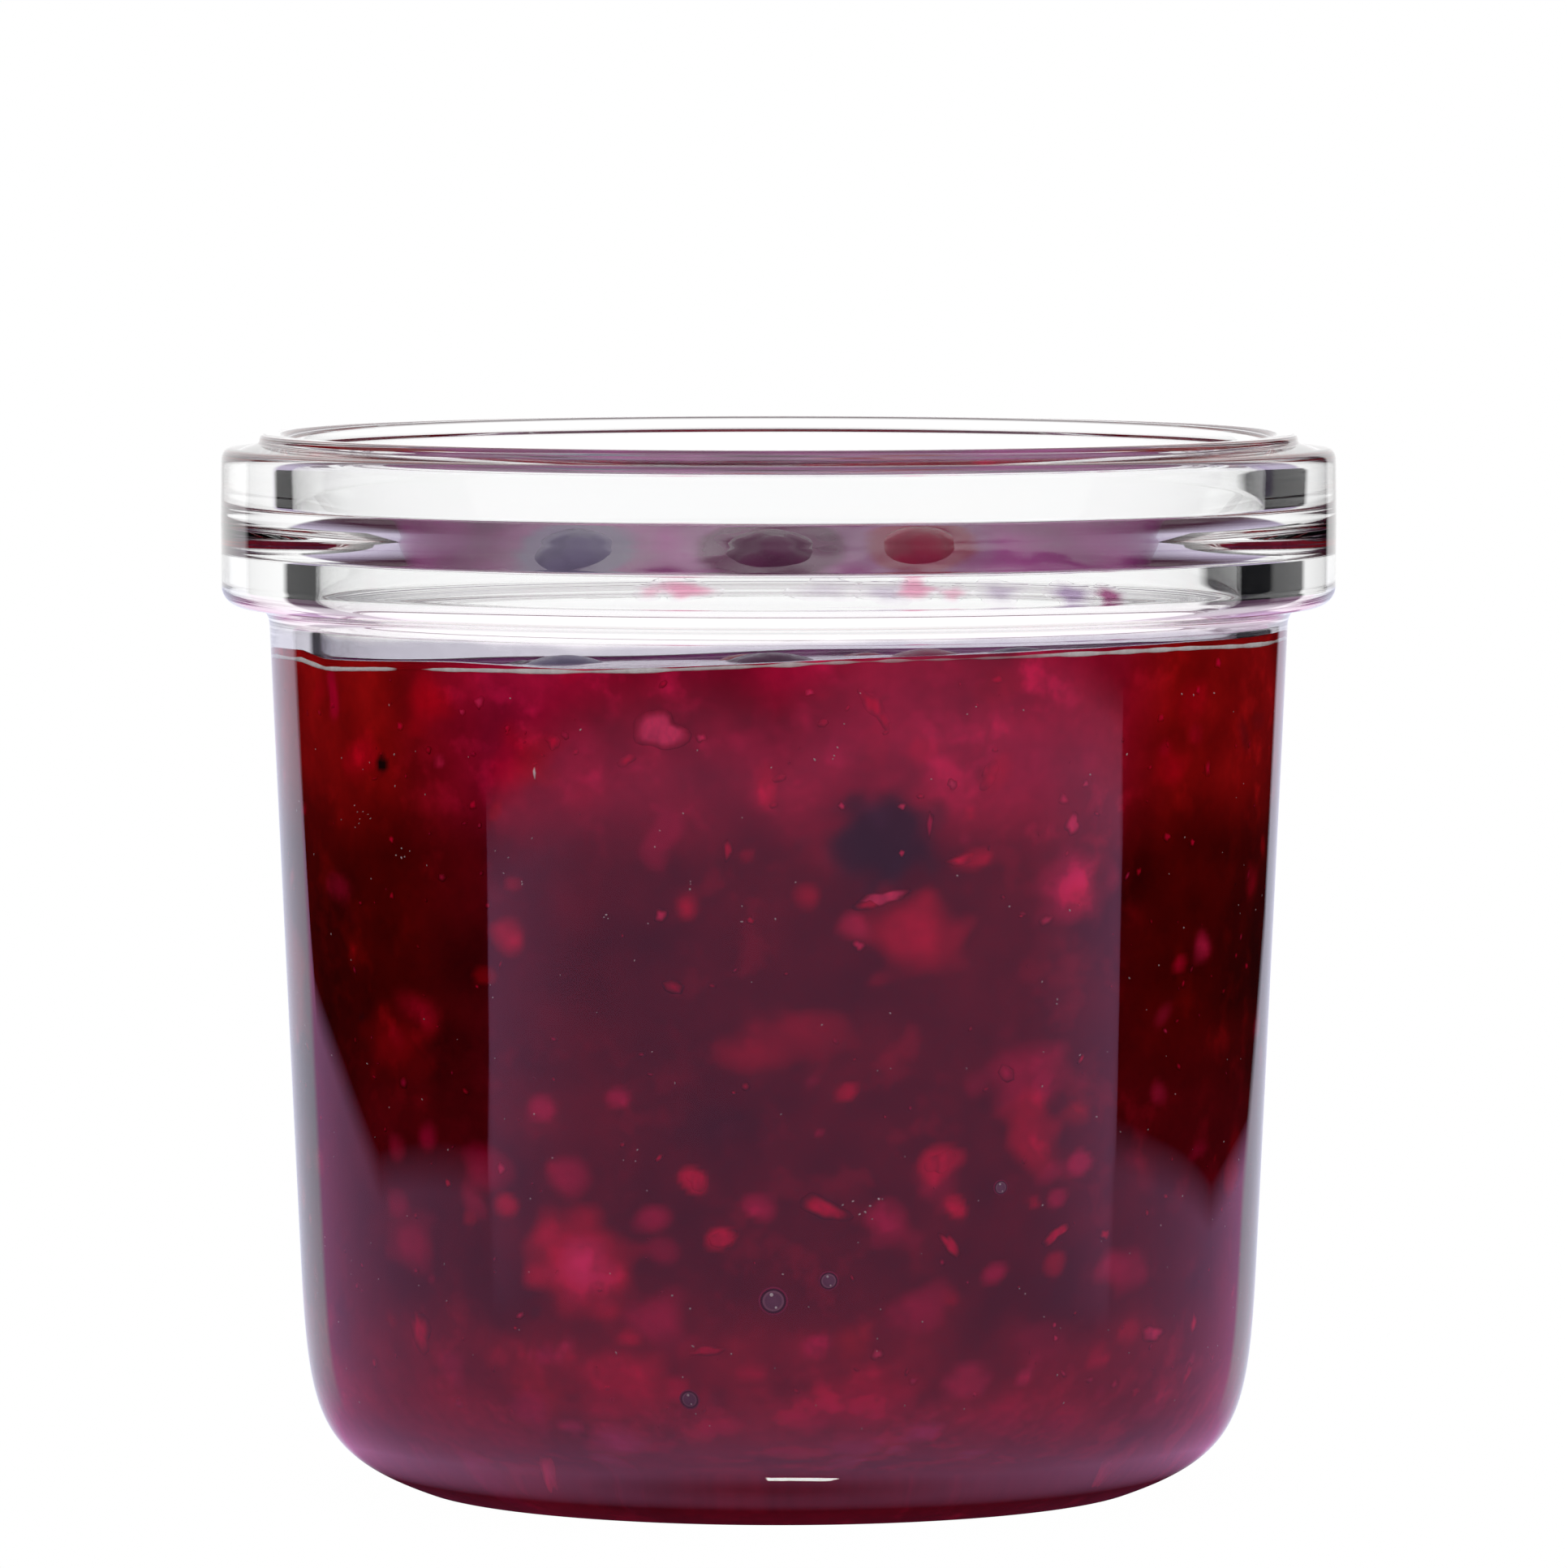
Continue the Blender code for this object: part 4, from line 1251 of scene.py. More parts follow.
@dataclass
class FruitBits:
    """Crisp bits of fruit, flecks and seeds pressed against the wall, and groups of painted glints, each a
    small closed cap.
    """

    jar: GlassJar
    tone: JamTone
    lift: float = 0.10
    softening: float = 1.5
    falloff: float = 1.6
    columns: int = 26
    rows: int = 9
    fleck_columns: int = 7
    flecks: int = 520
    fleck_odds: tuple[float, float, float] = (0.55, 0.3, 0.15)
    specks: int = 420
    speck_sizes: tuple[float, float] = (0.08, 0.17)
    loose_heights: tuple[float, float] = (7.0, 64.3)
    sparkle_scatter: float = 0.5
    sparkle_sizes: tuple[float, float] = (0.12, 0.24)
    outline_waves: tuple[tuple[int, float], ...] = ((2, 0.13), (3, 0.12), (4, 0.08), (5, 0.07), (7, 0.05))
    wave_sizes: tuple[float, float] = (0.4, 1.3)
    fleck_wave: float = 0.2
    seed: int = 77

    def cap(
        self, surface: Surface, azimuth: float, height: float, lump: Lump, fine: bool, sunk: float = 0.0
    ) -> None:
        """Adds one bit: a flattened ball with an uneven outline that stands just proud of the jam.

        A point of the ball at (a, b, c) goes a sizes along the wall, b sizes up it and c times the
        lift out of the jam's face.

        Args:
            surface: The surface that it joins.
            azimuth: Azimuth of its middle, in radians.
            height: Height of its middle.
            lump: Its size, tilt and colour.
            fine: Whether it gets enough faces for an uneven outline.
            sunk: How far inside the jam's face it lies.
        """
        columns = self.columns if fine else self.fleck_columns
        rows = self.rows if fine else 3
        turn = np.linspace(0, 2 * np.pi, columns, endpoint=False)[None]
        polar = np.linspace(-np.pi / 2, np.pi / 2, rows + 2)[1:-1, None]
        outline = self.outline(turn, azimuth * 40 + height, fine)
        along = np.cos(polar) * np.cos(turn) * outline * lump.wide / 2
        across = np.cos(polar) * np.sin(turn) * outline * lump.tall / 2
        out = np.repeat(np.sin(polar), columns, 1) * self.lift
        tilt = math.radians(lump.tilt)
        aside = along * math.cos(tilt) - across * math.sin(tilt)
        up = along * math.sin(tilt) + across * math.cos(tilt)
        radius = self.tone.face_radius(height + up) + out - sunk
        face = float(self.tone.face_radius(height)) - sunk
        grid = around(radius, height + up, azimuth + aside / face)
        poles = [
            around(np.array(face + side * self.lift), np.array(height), np.array(azimuth))
            for side in (-1, 1)
        ]
        surface.add_turned(grid, *poles)
        distance = np.append(np.repeat(np.cos(polar)[:, 0], columns), [0.0, 0.0])
        fade = min(1.0, self.softening * lump.soft)
        share = lump.strength * (1 - smoothstep(1 - fade, 1.0, distance)) ** self.falloff
        colour = np.repeat([lump.shade.value], len(share), 0)
        surface.tones.append(np.column_stack([colour, share]))

    def sparkles(self, surface: Surface, rng: np.random.Generator) -> None:
        """Adds the tight groups of tiny white glints, painted highlights."""
        for across, height, wide, count in SPARKLE_GROUPS:
            for _ in range(count):
                aside = across + rng.normal() * wide
                up = height + rng.normal() * self.sparkle_scatter
                azimuth, at = self.tone.place(Lump(aside, up, 1.0, 1.0, Shade.WHITE))
                size = rng.uniform(*self.sparkle_sizes)
                lump = Lump(0.0, at, size, size * rng.uniform(0.5, 1.0), Shade.WHITE, 1.0, 0.2, 30.0)
                self.cap(surface, azimuth, at, lump, fine=False)

    def outline(self, turn: Points, phase: float, fine: bool) -> Points:
        """Size of a bit in each direction: 1 with a few waves of random strength."""
        if not fine:
            return 1 + self.fleck_wave * np.cos(turn * 2 + phase)
        rng = np.random.default_rng(abs(int(phase * 977)) % 100003)
        return 1 + sum(
            size * rng.uniform(*self.wave_sizes) * np.cos(k * turn + rng.uniform(0, 6.28))
            for k, size in self.outline_waves
        )

    def build(self) -> bpy.types.Object:
        """Builds every bit as one piece.

        Returns:
            The bits of fruit.
        """
        surface = Surface()
        for lump in CRISP_BITS:
            self.cap(surface, *self.tone.place(lump), lump, fine=True)
        rng = np.random.default_rng(self.seed)
        shades = (Shade.RED, Shade.ROSE, Shade.PINK)
        for _ in range(self.flecks):
            azimuth, height = rng.uniform(-np.pi, np.pi), rng.uniform(*self.loose_heights)
            size = rng.lognormal(-1.0, 0.45)
            shade = shades[rng.choice(3, p=self.fleck_odds)]
            wide, tall = size * rng.uniform(0.8, 1.6), size * rng.uniform(0.6, 1.1)
            strength, tilt = rng.uniform(0.3, 0.9), rng.uniform(-90, 90)
            lump = Lump(0, height, wide, tall, shade, strength, 0.6, tilt)
            self.cap(surface, azimuth, height, lump, fine=False)
        for _ in range(self.specks):
            azimuth, height = rng.uniform(-np.pi, np.pi), rng.uniform(*self.loose_heights)
            size = rng.uniform(*self.speck_sizes)
            wide, tilt = size * rng.uniform(1, 1.8), rng.uniform(-90, 90)
            lump = Lump(0, height, wide, size, Shade.WHITE, 0.9, 0.3, tilt)
            self.cap(surface, azimuth, height, lump, fine=False)
        self.sparkles(surface, rng)
        own = np.concatenate(surface.tones)
        jam = self.tone.shown(np.concatenate(surface.points))
        surface.tones = [scattered_under_glass(blended(jam, own[:, :3], own[:, 3]))]
        bits = surface.build("fruit_bits")
        bits.data.materials.append(FruitPulp().material())
        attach(bits, BODY)
        return bits


@dataclass
class BackFilms:
    """Thin see-through films on the glass above the level: spots of jam at the back, and a grey band above
    the jam's edge that is strongest at the front.
    """

    bits: FruitBits
    jam: Jam
    clear: Colour = (1.0, 0.98, 1.0)
    grain_per_metre: float = 900.0
    band_tint: Colour = (0.62, 0.60, 0.68)
    band_half: float = 1.0
    band_lift: float = 0.04
    band_fade: tuple[float, float] = (1.0, 0.2)
    band_wave: float = 0.15
    band_share: tuple[tuple[float, float], ...] = (
        (-180, 0.1), (-100, 0.3), (-74, 0.9), (-30, 0.8), (10, 1.0), (40, 0.9), (80, 0.7), (100, 0.3),
        (180, 0.1),
    )

    def material(self) -> bpy.types.Material:
        """Clear jelly that tints what lies behind it, with a fine grain."""
        made, bench, shader = principled("jam_film", IOR=1.01, Roughness=0.1, Transmission_Weight=1.0)
        tone = bench.node("ShaderNodeAttribute", attribute_name=TONE).outputs["Color"]
        grain = bench.ramp(bench.noise(self.grain_per_metre), [(0.35, (0.97,) * 3), (0.65, (1.0,) * 3)])
        bench.put(shader.inputs["Base Color"], bench.mixed(1.0, tone, grain, "MULTIPLY"))
        return made

    def grey_band(self, surface: Surface) -> None:
        """Adds a grey see-through band just above the jam's edge, a flat oval ring clear at its top and
        strongest at the front.
        """
        angle = np.linspace(-np.pi, np.pi, 480, endpoint=False)
        turn = np.linspace(0, 2 * np.pi, 16, endpoint=False)[:, None]
        middle = self.jam.contact_height(angle) + self.band_half
        up = np.sin(turn) * np.ones_like(angle)
        face = self.bits.jar.inner_wall(middle) + np.cos(turn) * self.band_lift
        surface.add_ring(face, middle + up * self.band_half, angle)
        wave = self.bits.tone.mottle(surface.points[-1])
        share = smoothstep(*self.band_fade, up + self.band_wave * wave.reshape(up.shape))
        share = share * np.interp(np.degrees(angle), *zip(*self.band_share))
        colour = np.repeat([self.band_tint], share.size, 0)
        surface.tones.append(np.column_stack([colour, share.ravel()]))

    def build(self) -> bpy.types.Object:
        """Builds the films as one piece of thin caps, clear towards their edges.

        Returns:
            The films.
        """
        surface = Surface()
        sunk = self.bits.tone.overlap
        for film in BACK_FILMS:
            reach = float(self.bits.jar.inner_wall(film.height))
            azimuth = math.pi - math.asin(film.across / reach)
            self.bits.cap(surface, azimuth, film.height, film, fine=True, sunk=sunk)
        self.grey_band(surface)
        own = np.concatenate(surface.tones)
        surface.tones = [blended(np.array([self.clear]), own[:, :3], own[:, 3])]
        films = surface.build("jam_films")
        films.data.materials.append(self.material())
        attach(films, BODY)
        return films


@dataclass
class ContactLine:
    """The thin bright line, a painted highlight, that runs round the glass just below the jam's edge."""

    jar: GlassJar
    jam: Jam
    drops: tuple[tuple[float, float], ...] = (
        (-180, 0.3), (-100, 0.6), (-72, 0.75), (-65, 0.72), (-55, 0.6), (-41, 0.58), (-25, 0.2),
        (0, 0.2), (19, 0.3), (34, 0.37), (50, 0.43), (77, 0.7), (110, 0.5), (180, 0.3),
    )
    # Painted highlight: how brightly the line shines at each azimuth.
    brightness: tuple[tuple[float, float], ...] = (
        (-180, 0.5), (-76, 0.5), (-72, 0.85), (-52, 0.8), (-50, 0.0), (-46, 0.0), (-44, 0.85), (-12, 0.8),
        (0, 0.45), (9, 0.3), (14, 0.15), (31, 0.15), (35, 0.8), (76, 0.8), (84, 0.5), (180, 0.5),
    )
    meniscus_highlight: Colour = (1.0, 0.93, 0.96)
    half_height: float = 0.15
    half_share: float = 0.35
    half_wave: float = 0.4
    half_between: tuple[float, float] = (0.15, 1.3)
    shine_wave: float = 0.25
    lift: float = 0.05
    columns: int = 720
    rows: int = 8
    uneven: WaveField = WaveField(seed=31, wavelength=4.0)

    def build(self) -> bpy.types.Object:
        """Builds the line as a closed ring with a flat oval section.

        A point at angle t of the section lies at the line's height plus sin(t) times the half height,
        and cos(t) times the lift in front of the jam's face.

        Returns:
            The contact line.
        """
        angle = np.linspace(-np.pi, np.pi, self.columns, endpoint=False)
        turn = np.linspace(0, 2 * np.pi, self.rows, endpoint=False)[:, None]
        degrees = np.degrees(angle)
        middle = self.jam.contact_height(angle) - np.interp(degrees, *zip(*self.drops))
        face = self.jar.inner_wall(middle) + self.jam.overlap
        wave = self.uneven(around(face, middle, angle))
        shine = np.interp(degrees, *zip(*self.brightness))
        size = self.half_share + shine + self.half_wave * wave
        half = self.half_height * np.clip(size, *self.half_between)
        surface = Surface()
        surface.add_ring(face + np.cos(turn) * self.lift, middle + np.sin(turn) * half, angle)
        shown = self.jam.tone.shown(surface.points[0])
        # Painted highlight: the jam's tone is moved towards the highlight colour by the shine.
        share = np.tile(np.clip(shine + self.shine_wave * wave * shine, 0, 1), self.rows)
        surface.tones.append(scattered_under_glass(blended(shown, np.array([self.meniscus_highlight]), share)))
        line = surface.build("contact_line")
        line.data.materials.append(FruitPulp(name="meniscus_highlight", contrast=0.1).material())
        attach(line, BODY)
        return line


@dataclass(frozen=True)
class Bubble:
    """A bubble against the glass: across the jar, height and radius in millimetres."""

    across: float
    height: float
    radius: float


BUBBLES = (
    Bubble(-0.4, 17.8, 1.1),
    Bubble(3.75, 19.3, 0.75),
    Bubble(16.7, 26.0, 0.6),
    Bubble(-6.7, 10.3, 0.75),
)


@dataclass
class Bubbles:
    """Bubbles trapped against the wall, their light painted on: a dark rim and a paler middle of painted
    shade and light, and two small painted glints in each.
    """

    tone: JamTone
    # Painted shade and light of a bubble from its middle to its rim, as share of radius and colour.
    bands: tuple[tuple[float, Colour], ...] = (
        (0.0, (0.100, 0.035, 0.070)), (0.55, (0.085, 0.030, 0.060)), (0.66, (0.200, 0.080, 0.120)),
        (0.74, (0.020, 0.001, 0.006)), (0.84, (0.012, 0.001, 0.004)), (0.91, (0.260, 0.006, 0.030)),
        (1.0, (0.080, 0.006, 0.022)),
    )
    glints: tuple[tuple[float, float, float], ...] = ((-0.12, 0.42, 0.16), (0.18, -0.45, 0.11))
    glint: Colour = (0.85, 0.75, 0.80)
    lift: float = 0.12
    glint_lift: float = 0.05
    columns: int = 32
    rows: int = 33

    def disc(self, surface: Surface, across: float, height: float, radius: float, proud: float) -> Points:
        """Adds a flattened ball against the glass.

        Args:
            surface: The surface that it joins.
            across: Distance of its middle from the axis, as it shows from the front.
            height: Height of its middle.
            radius: Its radius.
            proud: How far it stands out of the jam's face.

        Returns:
            Each point's distance from the middle, in radii.
        """
        azimuth, _ = self.tone.place(Lump(across, height, 1.0, 1.0, Shade.WHITE))
        turn = np.linspace(0, 2 * np.pi, self.columns, endpoint=False)[None]
        polar = np.linspace(-np.pi / 2, np.pi / 2, self.rows + 2)[1:-1, None]
        aside = radius * np.cos(polar) * np.cos(turn)
        up = radius * np.cos(polar) * np.sin(turn)
        face = self.tone.face_radius(height + up)
        out = np.repeat(np.sin(polar), self.columns, 1) * proud
        radii = [np.asarray(self.tone.face_radius(height) + side * proud) for side in (-1, 1)]
        poles = [around(radius, np.array(height), np.array(azimuth)) for radius in radii]
        surface.add_turned(around(face + out, height + up, azimuth + aside / face), *poles)
        return np.append(np.repeat(np.cos(polar)[:, 0], self.columns), [0.0, 0.0])

    def build(self) -> bpy.types.Object:
        """Builds every bubble and its glints as one piece.

        Returns:
            The bubbles.
        """
        surface = Surface()
        places, colours = zip(*self.bands)
        for bubble in BUBBLES:
            size = bubble.radius
            reach = self.disc(surface, bubble.across, bubble.height, size, self.lift)
            tone = np.stack([np.interp(reach, places, band) for band in zip(*colours)], 1)
            surface.tones.append(scattered_under_glass(tone))
            for aside, up, share in self.glints:
                where = (bubble.across + aside * size, bubble.height + up * size)
                count = len(self.disc(surface, *where, share * size, self.lift + self.glint_lift))
                surface.tones.append(scattered_under_glass(np.tile(self.glint, (count, 1))))
        bubbles = surface.build("bubbles")
        bubbles.data.materials.append(FruitPulp(name="bubble_skin", contrast=0.05).material())
        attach(bubbles, BODY)
        return bubbles


@dataclass(frozen=True)
class BerryKind:
    """How one kind of berry looks: skin tone, the painted shade in its hollows, and how bumpy it is."""

    skin: Colour
    hollow_shade: Colour
    bloom: Colour
    bumps: float
    bumps_around: float


BERRY_KINDS = {
    "berry_red": BerryKind((0.21, 0.002, 0.030), (0.10, 0.001, 0.014), (0.26, 0.01, 0.06), 0.01, 3.0),
    "berry_slate": BerryKind((0.130, 0.105, 0.185), (0.07, 0.055, 0.10), (0.18, 0.15, 0.24), 0.01, 3.0),
    "berry_dark": BerryKind((0.075, 0.008, 0.045), (0.035, 0.004, 0.022), (0.11, 0.03, 0.08), 0.012, 2.6),
    "berry_back_left": BerryKind((0.06, 0.008, 0.040), (0.015, 0.002, 0.010), (0.12, 0.04, 0.08), 0.03, 2.2),
    "berry_back_mid": BerryKind((0.28, 0.005, 0.020), (0.12, 0.003, 0.010), (0.38, 0.05, 0.09), 0.01, 3.0),
    "berry_back_right": BerryKind((0.045, 0.028, 0.06), (0.012, 0.006, 0.014), (0.16, 0.13, 0.19), 0.01, 3),
    "berry_middle": BerryKind((0.22, 0.004, 0.030), (0.07, 0.002, 0.012), (0.30, 0.05, 0.08), 0.02, 2.4),
}


@dataclass
class Berry:
    """One berry that breaks the jam's surface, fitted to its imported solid."""

    node: str
    kind: BerryKind
    columns: int = 96
    rows: int = 60
    hollow_shade_share: float = 0.35
    cell_edge: float = 0.45
    least_cells: int = 6
    red_from: float = 0.2

    def build(self) -> bpy.types.Object:
        """Builds the berry as a ball scaled to its solid's box, its skin raised in small cells.

        The radius is 1 less the bump depth times how far a point lies between cell middles, which are
        spread over the ball on a golden spiral.

        Returns:
            The berry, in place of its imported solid.
        """
        low, high = (np.array(corner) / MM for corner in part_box(self.node))
        centre, half = (low + high) / 2, (high - low) / 2
        turn = np.linspace(0, 2 * np.pi, self.columns, endpoint=False)[None]
        polar = np.linspace(-np.pi / 2, np.pi / 2, self.rows + 2)[1:-1, None]
        unit = np.stack(
            [
                np.cos(polar) * np.cos(turn),
                np.cos(polar) * np.sin(turn),
                np.repeat(np.sin(polar), self.columns, 1),
            ],
            -1,
        )
        ball = np.concatenate([unit.reshape(-1, 3), [[0, 0, -1.0], [0, 0, 1.0]]])
        ridge = self.between_cells(ball, half.mean())
        shaped = centre + ball * half * (1 - self.kind.bumps * ridge)[:, None]
        surface = Surface()
        surface.add_turned(shaped[:-2].reshape(self.rows, self.columns, 3), shaped[-2], shaped[-1])
        skin = np.array(self.kind.skin)[None] * np.ones((len(ball), 1))
        # Painted shade: the skin darkens towards the hollow shade between its cells.
        surface.tones.append(blended(skin, np.array(self.kind.hollow_shade)[None], ridge * self.hollow_shade_share))
        berry = surface.build(self.node.replace("berry_", "whole_berry_"))
        skin_finish = BerrySkin(self.node + "_skin", self.kind.bloom)
        berry.data.materials.append(skin_finish.material())
        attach(berry, BODY)
        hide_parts(self.node)
        return berry

    def between_cells(self, ball: Points, radius: float) -> Points:
        """How far each point of a unit ball lies from the nearest cell's middle, from 0 to 1."""
        count = max(self.least_cells, int(4 * np.pi * radius**2 / self.kind.bumps_around**2))
        index = np.arange(count) + 0.5
        height = 1 - 2 * index / count
        turn = np.pi * (1 + math.sqrt(5)) * index
        ring = np.sqrt(1 - height**2)
        middles = np.stack([ring * np.cos(turn), ring * np.sin(turn), height], 1)
        nearest = np.arccos(np.clip((ball @ middles.T).max(1), -1, 1))
        return smoothstep(self.cell_edge, 1.0, nearest / math.sqrt(4 / count))


# --------------------------------------------------------------------------- studio


Stops = tuple[tuple[float, Colour], ...]


@dataclass(frozen=True)
class TableLight:
    """Light that comes off the pale lilac table towards the jar, of one tint all round.

    It is even from afar, brighter near the jar, and falls off again under its foot.
    """

    tint: Colour = (0.95, 0.42, 0.85)
    afar: float = 0.85
    near: float = 1.5
    near_span: tuple[float, float] = (-18.0, -45.0)
    under: float = 0.35
    under_span: tuple[float, float] = (-62.0, -85.0)

    def colour(self, bench: Bench, elevation: object) -> bpy.types.NodeSocket:
        """The table's colour.

        Args:
            bench: The world's bench.
            elevation: Elevation in degrees.

        Returns:
            The socket with the colour.
        """
        near = bench.between(elevation, *self.near_span)
        strength = bench.maths("MULTIPLY_ADD", near, self.near - self.afar, self.afar)
        under = bench.between(elevation, *self.under_span)
        shade = bench.maths("MULTIPLY_ADD", under, self.under - 1, 1.0)
        strength = bench.maths("MULTIPLY", strength, shade)
        return bench.mixed(1.0, (*self.tint, 1.0), strength, "MULTIPLY")


@dataclass
class Studio:
    """Camera, plain white floor and the soft light round the jar."""

    picture_width: int = 1931
    picture_height: int = 1932
    camera_distance: float = 947.67
    camera_height: float = 113.675
    aim_height: float = 54.405
    focal_pixels: float = 15063.7
    axis_column: float = 959.5
    sensor: float = 36.0
    clip: tuple[float, float] = (0.01, 100.0)
    light_bounces: int = 24
    glossy_bounces: int = 12
    floor_half: float = 3000.0
    floor_height: float = -0.01
    floor_samples: int = 12
    floor_shade: float = 0.004
    floor_reach: float = 8.0
    foot_shade: Colour = (0.060, 0.010, 0.026)
    foot_shade_height: float = -0.005
    foot_shade_mirrored: tuple[float, float] = (30.5, 36.0)
    foot_shade_through: tuple[float, float] = (60.0, 130.0)
    soft_light: float = 1.0
    soft_level: float = 0.75
    overhead: float = 1.0
    overhead_from: float = 35.0
    backdrop: Colour = (1.1, 1.1, 1.1)
    mirrored_backdrop: Colour = (0.81, 0.82, 0.99)
    lilac_below: tuple[float, float] = (-3.5, -2.6)
    glint: float = 16.0
    glint_heights: tuple[float, float] = (-76.0, -71.5)
    glint_azimuths: tuple[float, float] = (-7.0, 33.0)
    sheet_foot: tuple[float, float] = (-55.0, -35.0)
    flag: Colour = (0.004, 0.004, 0.005)
    flag_top: float = 14.0
    room: Colour = (0.05, 0.015, 0.05)
    sky: Colour = (0.55, 0.55, 0.57)
    bent_table: Stops = ((-90, (0.04, 0.01, 0.02)), (-30, (0.06, 0.02, 0.04)), (-12, (0.50, 0.43, 0.60)))
    edge_scale: float = 10.0
    edge_blur: float = 0.25
    onset_span: float = 0.6
    onset_start: float = 0.25
    sheet_left: tuple[float, float] = (-144.0, -141.0)
    sheet_right: tuple[float, float] = (155.0, 158.0)
    sheet_shift: float = 2.0
    sheet_slant: float = 9.0
    sheet_slant_span: tuple[float, float] = (-6.9, -5.2)
    mirrored_foot: tuple[float, float] = (-16.0, -8.0)
    front_stops: tuple[tuple[float, float], ...] = ((-72, 0.0), (-71, 1.0), (85.5, 1.0), (86.5, 0.0))
    edge_stops: tuple[tuple[float, float], ...] = (
        (-144, 0.42), (-140, 0.62), (-110, 0.83), (-72, 0.96), (-71, 0.79), (0, 0.84), (85.5, 0.70),
        (86.5, 0.90), (126, 0.78), (157, 0.60),
    )
    strips_foot: tuple[float, float] = (-11.2, -9.2)
    strips: tuple[tuple[float, float], ...] = (
        (-73, 1.0), (-71.5, 1.6), (-45, 1.0), (60, 1.0), (85.5, 1.7), (87, 1.0),
    )

    def camera(self) -> None:
        """Places the camera in front, slightly above the jar and aimed at its axis."""
        data = bpy.data.cameras.new("camera")
        data.sensor_width = self.sensor
        data.lens = self.sensor * self.focal_pixels / self.picture_height
        data.shift_x = (self.picture_width / 2 - self.axis_column) / self.picture_height
        data.clip_start, data.clip_end = self.clip
        made = bpy.data.objects.new("camera", data)
        made.location = (0.0, -self.camera_distance * MM, self.camera_height * MM)
        down = math.atan((self.camera_height - self.aim_height) / self.camera_distance)
        made.rotation_euler = (math.pi / 2 - down, 0.0, 0.0)
        bpy.context.scene.collection.objects.link(made)
        bpy.context.scene.camera = made

    @staticmethod
    def square(name: str, half: float, height: float, material: bpy.types.Material) -> bpy.types.Object:
        """A level square on the stage that casts no shadow.

        Args:
            name: Its name.
            half: Half its width in millimetres.
            height: Its height in millimetres.
            material: Its material.

        Returns:
            The square.
        """
        corners = np.array([(-1, -1), (1, -1), (1, 1), (-1, 1)]) * half * MM
        mesh = bpy.data.meshes.new(name)
        mesh.from_pydata([(x, y, height * MM) for x, y in corners.tolist()], [], [(0, 1, 2, 3)])
        mesh.materials.append(material)
        made = bpy.data.objects.new(name, mesh)
        bpy.context.scene.collection.objects.link(made)
        made.visible_diffuse = False
        made.visible_shadow = False
        return made

    @staticmethod
    def light_material(name: str) -> tuple[bpy.types.Material, Bench, bpy.types.Node, bpy.types.Node]:
        """A material of plain light: itself, its bench, its emission node and its output node."""
        material = bpy.data.materials.new(name)
        material.use_nodes = True
        material.node_tree.nodes.clear()
        bench = Bench(material.node_tree)
        light = bench.node("ShaderNodeEmission")
        out = bench.node("ShaderNodeOutputMaterial")
        bench.put(out.inputs["Surface"], light.outputs[0])
        return material, bench, light, out

    def floor(self) -> None:
        """A white floor that only the camera sees, with a faint soft shade where the jar stands."""
        material, bench, light, _ = self.light_material("white_floor")
        near = bench.node("ShaderNodeAmbientOcclusion", samples=self.floor_samples)
        near.inputs["Distance"].default_value = self.floor_reach * MM
        shade = bench.maths("MULTIPLY", near.outputs["AO"], self.floor_shade)
        bench.put(light.inputs["Strength"], bench.maths("ADD", shade, 1 - self.floor_shade))
        floor = self.square("floor", self.floor_half, self.floor_height, material)
        floor.visible_glossy = False
        floor.visible_transmission = False

    def foot_shadow(self) -> None:
        """The dark ground under the foot that the glass mirrors and shows through its base."""
        material, bench, light, out = self.light_material("foot_shadow")
        place = bench.node("ShaderNodeTexCoord").outputs["Object"]
        reach = bench.node("ShaderNodeVectorMath", operation="LENGTH")
        bench.put(reach.inputs[0], place)
        spans = zip(self.foot_shade_mirrored, self.foot_shade_through)
        path = bench.node("ShaderNodeLightPath").outputs
        bent = bench.maths("GREATER_THAN", path["Transmission Depth"], 0.5)
        ends = [bench.maths("MULTIPLY_ADD", bent, (far - near) * MM, near * MM) for near, far in spans]
        share = bench.between(reach.outputs["Value"], *ends)
        bench.put(light.inputs["Color"], (*self.foot_shade, 1.0))
        clear = bench.node("ShaderNodeBsdfTransparent")
        mix = bench.node("ShaderNodeMixShader")
        bench.put(mix.inputs[0], share)
        bench.put(mix.inputs[1], light.outputs[0])
        bench.put(mix.inputs[2], clear.outputs[0])
        bench.put(out.inputs["Surface"], mix.outputs[0])
        shade = self.square("foot_shadow", self.foot_shade_through[1], self.foot_shade_height, material)
        shade.visible_camera = False

